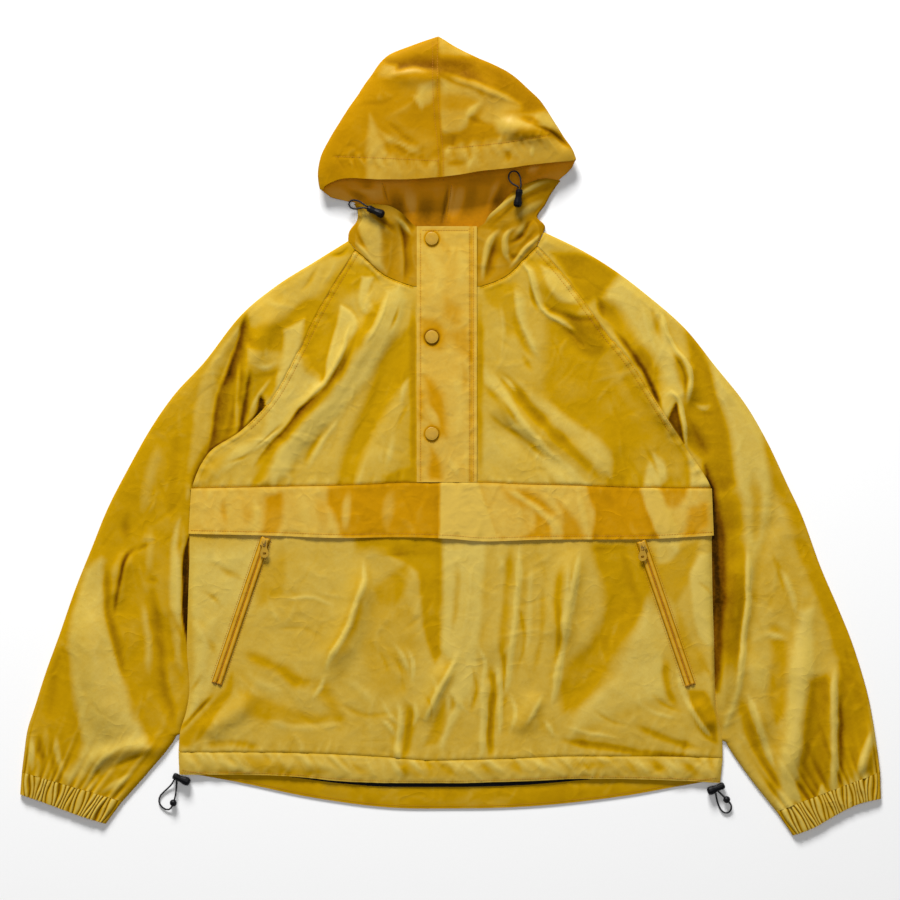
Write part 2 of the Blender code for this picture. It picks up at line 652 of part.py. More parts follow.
def make_sleeve(side, cloth):
    outer, inner = sleeve_edges(side)
    away = -1 if side == "left" else 1
    inner = inset(inner, SEAM * away * 0.8)
    rings = []
    for row in range(len(outer)):
        closed_under = float(step_up(RAGLAN_ROWS - 2, RAGLAN_ROWS + 2, row))
        rings.append(sleeve_ring(outer[row], inner[row], closed_under, 12, 4))
    points = np.array(rings)
    if side == "left":
        points = points[::-1]
    return cloth_wall(f"sleeve_{side}", points, cloth)


def make_cuff(side, cloth):
    """Gathered cuff: plain inside, with a pleat for each gather raised on its outer face."""
    outer, inner = sleeve_edges(side)
    away = -1 if side == "left" else 1
    edge = smooth(CUFF_EDGES[side], 9)
    across = inner[-1] - outer[-1]
    gap = np.array([-across[1], across[0]]) * away / np.linalg.norm(across) * SEAM * 1.6
    seam = np.linspace(outer[-1], inset(inner[-1], SEAM * away * 0.8), 9) + gap
    pleats = CUFF_PLEATS[side]
    front = 4 * pleats + 1
    back = 5
    turn = (EDGE_LAYER + 1.2 - FLOOR_LAYER) / 2
    rows = []
    raised = []
    for part, share in ((0.0, 0.5), (0.35, 0.8), (0.7, 0.8), (1.0, 1.0)):
        line = seam + (edge - seam) * part
        places = np.linspace(0, 1, 9)
        span = np.linalg.norm(line[-1] - line[0])
        ring = []
        lift = []
        for place in np.linspace(1, turn / span, back):
            ring.append((*smooth_at(places, line, [place])[0], FLOOR_LAYER))
            lift.append(0.0)
        tip = smooth_at(places, line, [0.0])[0]
        ring.append((*tip, FLOOR_LAYER + turn))
        lift.append(0.3)
        for index, place in enumerate(np.linspace(turn / span, 1, front)):
            point = smooth_at(places, line, [place])[0]
            near = min(place, 1 - place) * span
            ring.append((*point, float(rolled(4.6, EDGE_LAYER, near, 10.0))))
            wave = (1 - cos(index / 4 * 2 * pi)) / 2
            lift.append(wave * share * PLEAT_HEIGHT)
        rows.append(ring)
        raised.append(lift)
    points, raised = np.array(rows), np.array(raised)
    if side == "left":
        points, raised = points[::-1], raised[::-1]
    return cloth_wall(f"cuff_{side}", points, cloth, outside=raised)


def quarter_round(start, end, rise_last, parts):
    """Points from start to end on a squarish quarter round, upright at its end or at its start."""
    far = np.sin(parts * pi / 2) ** HOOD_SQUARENESS
    near = 1 - np.cos(parts * pi / 2) ** HOOD_SQUARENESS
    plan, rise = (far, near) if rise_last else (near, far)
    return start + (end - start) * np.stack([plan, plan, rise], axis=1)


def rib_path(rib):
    """Rib of the hood: over the floor to the crown, round it, and forward to the brim."""
    base, crown, brim = (np.array(rib[place : place + 3]) for place in (0, 3, 6))
    turned_by = np.arcsin(np.array(HOOD_BACK_STEPS) ** (1 / HOOD_SQUARENESS)) * 2 / pi
    back = quarter_round(base, crown, True, turned_by)
    front = quarter_round(crown, brim, False, np.linspace(0, 1, HOOD_FRONT_ROWS) ** 1.25)
    return np.concatenate([back, front[1:]])


def hood_points(side):
    """Middle points of half a hood; cells are missing where the front of the neck has no ribs."""
    ribs = np.array(HOOD_RIBS[side], float)
    low, high = SIDE_RIBS[side]
    places = np.concatenate([np.linspace(0, low, 5)[:-1], np.linspace(low, high, 5)[:-1],
                             np.linspace(high, len(ribs) - 1, 5)])
    first, last = 4, 8
    shell = np.array([rib_path(rib) for rib in smooth_at(np.arange(len(ribs)), ribs, places)])
    shell = shell.transpose(1, 0, 2)
    on_front = np.zeros(shell.shape[:2])
    on_front[len(HOOD_BACK_STEPS):] = 1
    lift = fold_height(shell[..., 0], shell[..., 1], HOOD_FOLDS) * on_front
    shell[..., 2] += lift * step_up(12.0, 19.0, shell[..., 2])

    inward = 1 if side == "left" else -1
    opening_x = SLIT_X - SEAM * inward
    fold = shell[0, first : last + 1]
    turn = []
    for angle, dip in ((90, 1.0), (45, 0.5), (0, 0.0), (-45, 0.0)):
        angle = angle * pi / 180
        out = SIDE_TURN * cos(angle)
        row = fold + np.array([-inward * out, 0, SIDE_TURN * (1 + sin(angle))])
        row[0, 1] -= SHOULDER_DIP[side] * dip
        turn.append(row)
    top = turn.pop(0)
    seam = inset(smooth(NECK_FRONT[side], HOOD_SIDE_ROWS - 2), 0.3 * inward, SEAM)
    seam = np.vstack([seam, (opening_x, seam[-1, 1])])
    heights = front_height(seam[:, 0], seam[:, 1])
    neck = np.vstack([top[:1], lay_flat(seam[None], heights[None])[0]])
    rim = smooth(np.vstack([top[-1:], HOOD_RIM[side]]), HOOD_SIDE_ROWS)
    opening = neck[-1] + (rim[-1] - neck[-1]) * np.linspace(0, 1, last - first + 1)[:, None]
    front = coons(top, opening, neck, rim)
    missing = np.full((HOOD_SIDE_ROWS + 3, shell.shape[1], 3), np.nan)
    missing[:HOOD_SIDE_ROWS, first : last + 1] = front[::-1]
    missing[HOOD_SIDE_ROWS:, first : last + 1] = np.array(turn)
    points = np.concatenate([missing, shell])
    waist = NECK_WAIST[side]
    drawn_in = waist.share * np.exp(-(((points[..., 1] - waist.y) / waist.half_width) ** 2))
    near_floor = 1 - step_up(8.0, 16.0, points[..., 2])
    points[..., 0] *= 1 - drawn_in * near_floor
    return points


def make_hood(side, cloth):
    points = hood_points(side)
    if side == "right":
        points = points[:, ::-1]
    return cloth_wall(f"hood_{side}", points, cloth)


def make_placket(cloth):
    """Flap over the front opening, with the welt that holds it as its folded right edge."""
    xs = np.array([PLACKET_LEFT, PLACKET_LEFT + 5, -18, 5, PLACKET_RIGHT - 6, PLACKET_RIGHT])
    ys = np.linspace(PLACKET_BOTTOM, PLACKET_TOP, 17)
    plan = np.stack(np.meshgrid(xs, ys), axis=2)
    lie = FRONT_LAYER + CLOTH + SEAM + 0.1
    bulge = np.array([0.0, 0.5, 0.8, 0.7, 0.3, 0.0])
    wave = 0.5 + 0.5 * np.sin(ys / 23.0)
    height = lie + bulge[None] * (0.5 + wave[:, None])
    return cloth_wall("placket", lay_flat(plan, height), cloth)


def turned(name, profile, material, segments=20):
    """Solid turned about Z from (radius, height) pairs that start and end on the axis."""
    shape = bmesh.new()
    points = [shape.verts.new((radius * MM, 0, height * MM)) for radius, height in profile]
    edges = [shape.edges.new(pair) for pair in zip(points, points[1:])]
    bmesh.ops.spin(shape, geom=points + edges, cent=(0, 0, 0), axis=(0, 0, 1), angle=2 * pi,
                   steps=segments, use_merge=True, use_duplicate=False)
    bmesh.ops.remove_doubles(shape, verts=shape.verts, dist=1e-7)
    bmesh.ops.recalc_face_normals(shape, faces=shape.faces)
    mesh = bpy.data.meshes.new(name)
    shape.to_mesh(mesh)
    shape.free()
    mesh.shade_smooth()
    mesh.set_sharp_from_angle(angle=0.6)
    return add_object(name, mesh, material)


def turned_ring(name, profile, material, segments):
    """Ring turned about Z from a profile that starts and ends on the edge of its hole."""
    shape = bmesh.new()
    points = [shape.verts.new((radius * MM, 0, height * MM)) for radius, height in profile]
    edges = [shape.edges.new(pair) for pair in zip(points, points[1:] + points[:1])]
    bmesh.ops.spin(shape, geom=points + edges, cent=(0, 0, 0), axis=(0, 0, 1), angle=2 * pi,
                   steps=segments, use_merge=True, use_duplicate=False)
    bmesh.ops.remove_doubles(shape, verts=shape.verts, dist=1e-7)
    bmesh.ops.recalc_face_normals(shape, faces=shape.faces)
    mesh = bpy.data.meshes.new(name)
    shape.to_mesh(mesh)
    shape.free()
    mesh.shade_smooth()
    mesh.set_sharp_from_angle(angle=0.9)
    return add_object(name, mesh, material)


def tree_of(names):
    """Search trees of pieces already made."""
    graph = bpy.context.evaluated_depsgraph_get()
    return [BVHTree.FromObject(bpy.data.objects[name], graph) for name in names]


def surface_height(trees, x, y):
    """Height, in millimetres, of the highest piece of cloth at a place, or 0 for the floor."""
    height = 0.0
    for tree in trees:
        hit = tree.ray_cast(Vector((x * MM, y * MM, 0.1)), Vector((0, 0, -1)))[0]
        if hit is not None:
            height = max(height, hit.z / MM)
    return height


def seat(piece, trees, gap=SEAM):
    """Lowers a piece until it lies just above the cloth, or the floor."""
    bpy.context.view_layer.update()
    room = 1.0
    world = piece.matrix_world
    spots = [world @ vertex.co for vertex in piece.data.vertices]
    for spot in spots:
        room = min(room, spot.z)
        for tree in trees:
            hit = tree.ray_cast(spot + Vector((0, 0, 0.03)), Vector((0, 0, -1)))[0]
            if hit is not None:
                room = min(room, spot.z - hit.z)
    piece.location.z -= room - gap * MM
    bpy.context.view_layer.update()


def make_snaps(material):
    trees = tree_of(("placket",))
    profile = ((0, 0), (SNAP_RADIUS, 0.1), (SNAP_RADIUS, 0.9), (7.2, 1.35), (6.2, 1.3), (0, SNAP_HEIGHT))
    for name, y in zip(("top", "middle", "bottom"), SNAP_YS):
        snap = turned(f"snap_{name}", profile, material, 20)
        snap.location = (SNAP_X * MM, y * MM, 0.02)
        seat(snap, trees)


def box(name, size, middle, material):
    bpy.ops.mesh.primitive_cube_add(size=1, location=(0, 0, 0))
    piece = bpy.context.active_object
    piece.name = name
    for vertex in piece.data.vertices:
        vertex.co = Vector(tuple((co * side + place) * MM for co, side, place in zip(vertex.co, size, middle)))
    piece.data.materials.append(material)
    return piece


def cut_or_join(piece, tool, operation):
    step = piece.modifiers.new(operation.title(), "BOOLEAN")
    step.operation = operation
    step.solver = "EXACT"
    step.object = tool
    tool.hide_render = True
    tool.display_type = "WIRE"


def bevelled(piece, width):
    step = piece.modifiers.new("Round", "BEVEL")
    step.width = width * MM
    step.segments = 2
    step.limit_method = "ANGLE"


def make_zip(side, tape, metal):
    """Closed zip: coil strip, slider with its bridge, and a pull tab hung on the bridge."""
    top, bottom = (np.array(end) for end in ZIP_LINES[side])
    run = (bottom - top) / np.linalg.norm(bottom - top)
    across = np.array([-run[1], run[0]])
    lie = FRONT_LAYER + CLOTH / 2 + SEAM + 0.2 + ZIP_THICKNESS / 2
    ends = np.linspace(top, bottom, 12)
    columns = np.array([-0.5, -0.1, 0.1, 0.5]) * ZIP_WIDTH
    plan = ends[:, None] + across[None, None] * columns[None, :, None]
    ridge = np.array([0.0, 0.25, 0.25, 0.0])
    heights = np.broadcast_to(lie + ridge, plan.shape[:2])
    cloth_wall(f"zip_{side}", lay_flat(plan, heights)[::-1], tape, ZIP_THICKNESS)

    top_of_zip = lie + ZIP_THICKNESS / 2 + 0.25 + SEAM
    heading = np.arctan2(-run[1], -run[0]) - pi / 2
    middle = top + run * (SLIDER_LENGTH / 2 + 1.0)
    slider = box(f"slider_{side}", (SLIDER_WIDTH, SLIDER_LENGTH, SLIDER_HEIGHT),
                 (0, 0, SLIDER_HEIGHT / 2), metal)
    bevelled(slider, 0.7)
    bridge = box(f"bridge_{side}", (BRIDGE_WIDTH, BRIDGE_LENGTH, BRIDGE_HEIGHT + 0.6),
                 (0, 1.0, SLIDER_HEIGHT + BRIDGE_HEIGHT / 2 - 0.3), metal)
    window = box(f"bridge_window_{side}",
                 (BRIDGE_WIDTH * 3, BRIDGE_LENGTH - 2 * BRIDGE_WALL, BRIDGE_HEIGHT - BRIDGE_WALL),
                 (0, 1.0, SLIDER_HEIGHT + (BRIDGE_HEIGHT - BRIDGE_WALL) / 2), metal)
    cut_or_join(slider, bridge, "UNION")
    cut_or_join(slider, window, "DIFFERENCE")
    for helper in (bridge, window):
        helper.parent = slider
    slider.location = (middle[0] * MM, middle[1] * MM, top_of_zip * MM)
    slider.rotation_euler.z = heading

    tab = make_tab(side, metal)
    pin = middle - run * 1.0
    window_middle = SLIDER_HEIGHT + (BRIDGE_HEIGHT - BRIDGE_WALL) / 2
    tab.location = (pin[0] * MM, pin[1] * MM, (top_of_zip + window_middle) * MM)
    tab.rotation_euler.x = TAB_DROOP * pi / 180


def make_tab(side, metal):
    """Pull tab, hanging along -Y from the bar that lies in the bridge, a ring at its free end."""
    half_neck = TAB_NECK_WIDTH / 2
    ring_y = TAB_BAR / 2 + TAB_RING_RADIUS - TAB_LENGTH
    top_y = TAB_BAR / 2
    outline = [(-half_neck, top_y), (-half_neck, ring_y + 7.0)]
    outline += [(-TAB_RING_RADIUS * cos(a), ring_y - TAB_RING_RADIUS * sin(a))
                for a in np.linspace(-0.45, pi + 0.45, 15)]
    outline += [(half_neck, ring_y + 7.0), (half_neck, top_y)]
    shape = bmesh.new()
    low = [shape.verts.new((x * MM, y * MM, -TAB_THICKNESS / 2 * MM)) for x, y in outline]
    face = shape.faces.new(low)
    lifted = bmesh.ops.extrude_face_region(shape, geom=[face])["geom"]
    up = [item for item in lifted if isinstance(item, bmesh.types.BMVert)]
    bmesh.ops.translate(shape, verts=up, vec=(0, 0, TAB_THICKNESS * MM))
    bmesh.ops.recalc_face_normals(shape, faces=shape.faces)
    mesh = bpy.data.meshes.new(f"pull_tab_{side}")
    shape.to_mesh(mesh)
    shape.free()
    tab = add_object(f"pull_tab_{side}", mesh, metal)
    slot = box(f"tab_slot_{side}", (TAB_SLOT_WIDTH, TAB_SLOT_LENGTH, 4),
               (0, -top_y - TAB_SLOT_LENGTH / 2, 0), metal)
    hole = box(f"tab_hole_{side}", (3.8, 2.8, 4), (0, ring_y, 0), metal)
    for tool in (slot, hole):
        bevelled(tool, 0.6)
        cut_or_join(tab, tool, "DIFFERENCE")
        tool.parent = tab
    return tab


def make_locks(material):
    for name, lock in LOCKS.items():
        profile = [(0, LOCK_PROFILE[0].along)]
        profile += [(ring.radius, ring.along) for ring in LOCK_PROFILE]
        profile += [(0, LOCK_PROFILE[-1].along)]
        piece = turned(name, profile, material, 12)
        heading = lock.turn * pi / 180
        trees = tree_of(lock.on)
        reach = np.array([cos(heading), sin(heading)]) * LOCK_REACH
        rise = surface_height(trees, lock.x + reach[0], lock.y + reach[1])
        rise -= surface_height(trees, lock.x - reach[0], lock.y - reach[1])
        piece.rotation_euler = (pi / 2 - np.arctan2(rise, 2 * LOCK_REACH), 0, heading + pi / 2)
        piece.location = (lock.x * MM, lock.y * MM, 0.05)
        seat(piece, trees, SEAM if trees else 0.0)


def make_cords(braid, plastic):
    """Cord loops: tubes on a smooth curve through each route, with the beads of the hem loops."""
    for name, route in CORD_ROUTES.items():
        points = round_curve(route, CORD_POINTS)
        curve = bpy.data.curves.new(name, "CURVE")
        curve.dimensions = "3D"
        spline = curve.splines.new("POLY")
        spline.points.add(len(points) - 1)
        for point, place in zip(spline.points, points):
            point.co = (*(place * MM), 1.0)
        curve.bevel_depth = CORD_DIAMETER / 2 * MM
        curve.bevel_resolution = 2
        curve.use_fill_caps = True
        curve.materials.append(braid)
        bpy.context.scene.collection.objects.link(bpy.data.objects.new(name, curve))
    steps = np.linspace(-1, 1, 9)
    half = np.sqrt(BEAD_RADIUS**2 - BEAD_HOLE_RADIUS**2)
    rounds = [(float(np.sqrt(BEAD_RADIUS**2 - (half * step) ** 2)), half * step) for step in steps]
    for name, bead in BEADS.items():
        piece = turned_ring(name, rounds, plastic, 12)
        piece.rotation_euler = (0, pi / 2, bead.heading * pi / 180)
        piece.location = (bead.x * MM, bead.y * MM, bead.z * MM)


def remove_all():
    for piece in list(bpy.data.objects):
        bpy.data.objects.remove(piece)


def main():
    remove_all()
    cloth = new_material("coated_cotton", (0.55, 0.34, 0.03), 0.5)
    lining = new_material("black_lining", (0.01, 0.01, 0.01), 0.8)
    trim = new_material("yellow_trim", (0.58, 0.36, 0.05), 0.45)
    black = new_material("black_plastic", (0.01, 0.01, 0.012), 0.4)
    braid = new_material("black_cord", (0.012, 0.012, 0.014), 0.8)
    make_back(cloth)
    for side in ("left", "right"):
        make_chest(side, cloth)
        make_sleeve(side, cloth)
        make_cuff(side, cloth)
        make_hood(side, cloth)
    make_lower_front(cloth)
    make_flap(cloth)
    make_hems(cloth, lining)
    make_placket(cloth)
    make_snaps(trim)
    for side in ("left", "right"):
        make_zip(side, trim, trim)
    make_locks(black)
    make_cords(braid, black)


main()
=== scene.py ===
"""Anorak pullover, laid flat on its back: the finished cloth, trims and studio round its solids.

The frame is that of the solids: +X to the wearer's left as it lies face up, +Y towards the hood and
+Z up, with the origin on the floor under the middle. Tables are in millimetres. Each panel is a
fine grid of points read from the same seams and sections as its solid, with creases laid on it.
"""

import json
from collections import namedtuple
from functools import partial
from math import cos, pi, radians, sin

import bmesh
import bpy
import numpy as np
from bpy.props import FloatProperty, FloatVectorProperty, PointerProperty
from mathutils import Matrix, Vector
from mathutils.bvhtree import BVHTree

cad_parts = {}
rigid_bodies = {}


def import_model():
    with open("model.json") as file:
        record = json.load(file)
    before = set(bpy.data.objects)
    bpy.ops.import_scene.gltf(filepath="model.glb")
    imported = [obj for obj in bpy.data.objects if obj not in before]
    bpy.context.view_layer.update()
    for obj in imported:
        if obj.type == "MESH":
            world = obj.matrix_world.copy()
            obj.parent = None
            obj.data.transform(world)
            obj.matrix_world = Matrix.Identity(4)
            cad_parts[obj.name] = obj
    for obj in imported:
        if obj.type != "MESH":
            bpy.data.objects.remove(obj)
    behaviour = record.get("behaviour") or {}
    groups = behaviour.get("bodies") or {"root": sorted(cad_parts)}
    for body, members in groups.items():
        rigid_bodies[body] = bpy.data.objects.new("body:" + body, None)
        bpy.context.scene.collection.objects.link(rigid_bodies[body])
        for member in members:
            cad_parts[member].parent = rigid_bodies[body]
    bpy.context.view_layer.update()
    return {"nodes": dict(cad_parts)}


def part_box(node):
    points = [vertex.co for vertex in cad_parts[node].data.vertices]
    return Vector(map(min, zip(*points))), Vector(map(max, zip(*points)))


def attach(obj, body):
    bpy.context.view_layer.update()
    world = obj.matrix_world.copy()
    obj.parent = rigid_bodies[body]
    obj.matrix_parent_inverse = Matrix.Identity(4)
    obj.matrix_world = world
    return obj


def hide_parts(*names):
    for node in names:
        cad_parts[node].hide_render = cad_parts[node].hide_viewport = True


bl_info = {
    "name": "Anorak Pullover",
    "version": (1, 0, 0),
    "blender": (4, 5, 0),
    "location": "View3D > Sidebar > Anorak",
    "description": "Builds the cloth, trims and studio of an anorak pullover that lies flat",
    "category": "Object",
}

for leftover in list(bpy.data.objects):
    bpy.data.objects.remove(leftover)
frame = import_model()

MM = 0.001

# Cloth
CLOTH = 1.2  # thickness of the coated cotton wall
SEAM = 0.3  # gap between pieces that are sewn together or lie on each other
FLOOR_LAYER = CLOTH / 2  # height of the middle of the cloth that lies on the floor
EDGE_LAYER = FLOOR_LAYER + CLOTH + SEAM  # middle of the front cloth where it meets the back
FRONT_LAYER = 4.5  # middle of the front cloth where it lies smooth
FOLD_TURN = (EDGE_LAYER + 1.2 - FLOOR_LAYER) / 2  # radius of the fold at a sleeve's outer edge
TUCK = 1.2  # how far a sleeve's raglan edge goes under the body's cloth
ROLL = 13.0  # how far the round of a folded side reaches inwards
LOWEST_TROUGH = EDGE_LAYER + 0.1  # the lowest that the middle of the front cloth sinks

# Front opening, snaps and pocket flap
SLIT_X = -5.4
PLACKET_LEFT, PLACKET_RIGHT = -41.0, 31.0
PLACKET_TOP, PLACKET_BOTTOM = 254.0, -53.0
FLAT_MARGIN = 5.0  # smooth cloth kept round the placket
SNAP_X = -23.0
SNAP_YS = (239.0, 121.0, 5.0)
# From the rim of a snap's cap to its middle: how far each step goes inwards, and up
SNAP_STEPS = ((0.4, 0.3), (0.5, 0.12), (0.3, -0.08), (0.3, 0.08), (1.2, 0.14), (2.2, 0.1))

# Hem and hood cords
CORD_DIAMETER = 2.0
CORD_POINTS = 22


def rows_of(kind, text):
    """Rows of a table, written as numbers with a comma between rows."""
    return tuple(kind(*map(float, row.split())) for row in text.split(","))


Section = namedtuple("Section", "outer_x outer_y inner_x inner_y")
Edge = namedtuple("Edge", "x y")
Ridge = namedtuple("Ridge", "from_x from_y to_x to_y bow half_width height")
HoodRib = namedtuple(
    "HoodRib", "base_x base_y base_z crown_x crown_y crown_z brim_x brim_y brim_z"
)
Spot = namedtuple("Spot", "x y z")

# Sleeves: one row for each section from the neck to the cuff seam. "outer" lies on the folded outer
# edge. "inner" lies on the raglan seam down to the underarm, then on the underarm seam.
RAGLAN_SECTIONS = 8
SLEEVE_SECTIONS = {
    "left": rows_of(Section, """
        -123 236.4 -115.5 226, -164 211 -138 190, -210 182 -162 148, -253 146 -184 103,
        -295 92 -214 49, -331 53 -252 9, -361 10 -291 -18, -390 -42 -311 -60, -412 -85 -314.8 -104,
        -431 -132 -315.8 -158, -451 -182 -317.4 -209, -469 -234 -318.3 -254, -486 -281 -316 -298,
        -499 -322 -321.5 -333, -508 -350 -334 -364, -512 -377 -364 -401, -515 -401 -395 -436
    """),
    "right": rows_of(Section, """
        111.5 247 104 231, 155 226 127 206, 193 203 152 174, 233 173 184 131, 280 132 218 88,
        317 86 249 39, 352 42 282 -12, 379 -4 312 -60, 403 -55 314.4 -104, 422 -96 315 -158,
        443 -154 316.2 -212, 464 -203 317.8 -260, 482 -248 318.6 -302, 498 -300 322 -334,
        506 -338 330 -364, 512 -377 358 -406, 515 -401 391 -448
    """),
}
CUFF_EDGES = {
    "left": rows_of(Edge, "-517 -428, -493 -436, -466 -446, -441 -455, -415 -463"),
    "right": rows_of(Edge, "516 -433, 490 -439, 461 -453, 437 -467, 411 -477"),
}
CUFF_PLEATS = {"left": 23, "right": 26}
PLEAT_HEIGHT = 2.6
CUFF_LAYER = 4.4  # middle of the cuff's front cloth, without its pleats

INWARD = {"left": 1, "right": -1}  # which way along X the garment's middle lies from each side

# Body outline and seams, from -X to +X or from the neck down
NECK_FRONT = {
    "left": rows_of(Edge, "-115.5 226, -104 217, -82 197, -66 189, -46 182"),
    "right": rows_of(Edge, "104 231, 86 213, 70 197, 56 189, 36 182"),
}
NECK_BACK = rows_of(Edge, "-115.5 226, -76 214, -6 209, 64 216, 104 231")
CHEST_SEAM = rows_of(Edge, """
    -311 -60, -208 -58, -116 -56, -46 -53, 36 -53, 82 -55, 162 -57, 216 -59, 312 -60
""")
FLAP_EDGE = rows_of(Edge, """
    -314 -115, -220 -117, -130 -120, -64 -119, 0 -121, 40 -124, 109 -122, 242 -121, 314 -117
""")
BODY_SIDE = {
    "left": rows_of(Edge, """
        -313 -64, -314 -144, -316 -209, -317 -250, -314 -300, -318 -329, -325 -352, -327 -377,
        -326 -404
    """),
    "right": rows_of(Edge, """
        313 -64, 313 -120, 314 -187, 316 -250, 317 -300, 319 -330, 325 -356, 326 -384, 323 -414
    """),
}
HEM_SEAM = rows_of(Edge, """
    -327 -377, -181 -378, -77 -383, -25 -387, 64 -385, 149 -382, 242 -382, 326 -384
""")
HEM_EDGE = rows_of(Edge, """
    -326 -404, -272 -404, -194 -406, -130 -412, -64 -414, 0 -414, 82 -412, 162 -409, 269 -411,
    323 -414
""")
BACK_HEM_SEAM = rows_of(Edge, """
    -326 -380, -258 -389, -166 -404, -73 -414, 11 -415, 102 -413, 208 -402, 270 -394, 325 -388
""")
BACK_HEM_EDGE = rows_of(Edge, """
    -325 -401, -258 -413, -166 -432, -73 -444, 11 -445, 102 -442, 208 -430, 270 -419, 322 -410
""")
LINING_EDGE = rows_of(Edge, "-193 -407, -130 -415, -64 -419, 0 -419, 82 -417, 167 -410")
LINING_DEPTH = 12.0  # how far up from its edge the lining is built
LINING_THICKNESS = 1.0

# Large folds of the front cloth: ridges stand up, troughs (negative) go down
FRONT_FOLDS = rows_of(Ridge, """
    -68 180 -232 -30 -10 17 5.0, -128 100 -240 -36 6 12 -2.2, -62 118 -134 -46 -8 13 -2.0,
    86 205 190 86 -12 13 3.2, 34 60 188 -44 4 16 2.6, 36 26 150 -46 0 13 -1.8,
    180 160 262 30 8 14 -2.3, 196 148 290 -6 10 15 6.5, 262 112 292 36 -6 11 4.0,
    -236 150 -300 -60 12 18 -2.2, -196 168 -252 40 10 15 4.5, -370 -60 -395 -230 8 20 -2.0,
    -436 -190 -398 -372 10 22 6.5, -350 -205 -336 -345 -6 15 -2.1, -384 -134 -404 -206 4 12 3.8,
    -340 -372 -440 -394 8 10 3.6, 356 -120 330 -352 12 17 6.5, 398 -80 346 -200 8 15 -2.1,
    416 -232 396 -428 -14 19 6.0, 350 -246 376 -372 -6 13 4.2, 462 -262 458 -420 6 12 4.0,
    506 -330 484 -410 -8 10 3.4, -104 -150 -150 -286 -8 15 5.5, 0 -268 -30 -344 4 12 3.6,
    148 -130 134 -258 6 15 4.4, 56 -250 60 -376 -6 15 -2.0, 106 -306 80 -356 0 11 3.0,
    218 -158 138 -326 -6 13 -1.9, -232 -306 -312 -356 -6 12 3.4, 292 -310 320 -350 5 10 3.4,
    -66 -366 -52 -408 0 6 2.2
""")

# Hood: one row for each rib, from the centre seam round to the corner of the face opening. A rib
# starts at "base" (neck seam, side fold or lower rim), runs over the floor to the crown's outline,
# turns over it at "crown" and ends at the brim.
HOOD_RIBS = {
    "left": rows_of(HoodRib, """
        -5.6 210.5 0.6 -16 480 11 -12 311 26, -36 211.5 0.6 -47 469 11 -38 309 26,
        -66 213.5 0.6 -78 456 11 -62 308 25.5, -94 219 0.6 -98 430 11 -84 308 25,
        -121.2 237 0.6 -113 408 11 -101 309 24, -120.4 256 0.6 -130 383 11 -118 310 22.5,
        -123.3 281 0.8 -143 362 11 -132 309 20.5, -131 284 1.6 -155 337 10.5 -144 305 17,
        -142 286.5 3.5 -159 314 10 -151 301 14.5, -151 289 5.5 -158.5 298 9.5 -154 297 12.5
    """),
    "right": rows_of(HoodRib, """
        -5.2 210.5 0.6 -15.4 480 11 -11.4 311 26, 25 212.5 0.6 14 463 11 12 314 26,
        54 216 0.6 48 448 11 35 318 26, 80 223.5 0.6 71 436 11 54 320 25.5,
        108.9 248.2 0.6 92 418 11 72 322 25, 111 266 0.6 108 402 11 90 325 24,
        114.5 287 0.6 120 383 11 106 327 22.5, 129 309 1.2 133 363 11 122 329 20,
        139 318 3.0 144 347 10.5 135 330.5 16.5, 145 325 5.5 149.5 334 9.5 145 331.5 13.5
    """),
}
# Ribs between which the hood turns forward at the side of the neck
SIDE_RIBS = {"left": (4, 6), "right": (4, 7)}
SIDE_TURN = 1.9  # radius of that turn
SHOULDER_DIP = {"left": 2.8, "right": 4.0}  # how far the turn's top reaches down to the sleeve
# The neck is drawn in at the sides: middle and half width along Y, share of X taken away
Waist = namedtuple("Waist", "y half_width share")
NECK_WAIST = {"left": Waist(270, 22, 0.095), "right": Waist(266, 11, 0.085)}
# Lower rim of the face opening, from the side fold to the front opening, with its height
HOOD_RIM = {
    "left": rows_of(Spot, f"""
        -90 279.5 9.5, -76 277 10.5, -63 268 7.5, -50 257.5 4.5, -40 252.5 4.5,
        {SLIT_X - SEAM} 252 4.5
    """),
    "right": rows_of(Spot, f"""
        115 311 9, 92 305 12, 71 292 13, 55 273 8.5, 40 257 4.5, 30 252.5 4.5,
        {SLIT_X + SEAM} 252 4.5
    """),
}
HOOD_FOLDS = rows_of(Ridge, """
    -80 433 8 436 4 10 3.0, 0 434 64 402 -3 10 3.0, 54 374 134 362 3 12 5.5,
    100 372 146 346 0 8 -4.0
""")
HOOD_SQUARENESS = 0.75  # 1 turns a rib in a quarter of an ellipse, less turns it squarer

# Zips: the line that each one follows, top first
ZIP_LINES = {
    "left": rows_of(Edge, "-222 -119.5, -281 -294"),
    "right": rows_of(Edge, "228 -123.5, 287 -296"),
}

# Solids that are shown as they are, in black plastic
PLASTIC_NODES = (
    "hem_lock_left", "hem_lock_right", "hood_lock_left", "hood_lock_right",
    "hem_bead_left", "hem_bead_right",
)
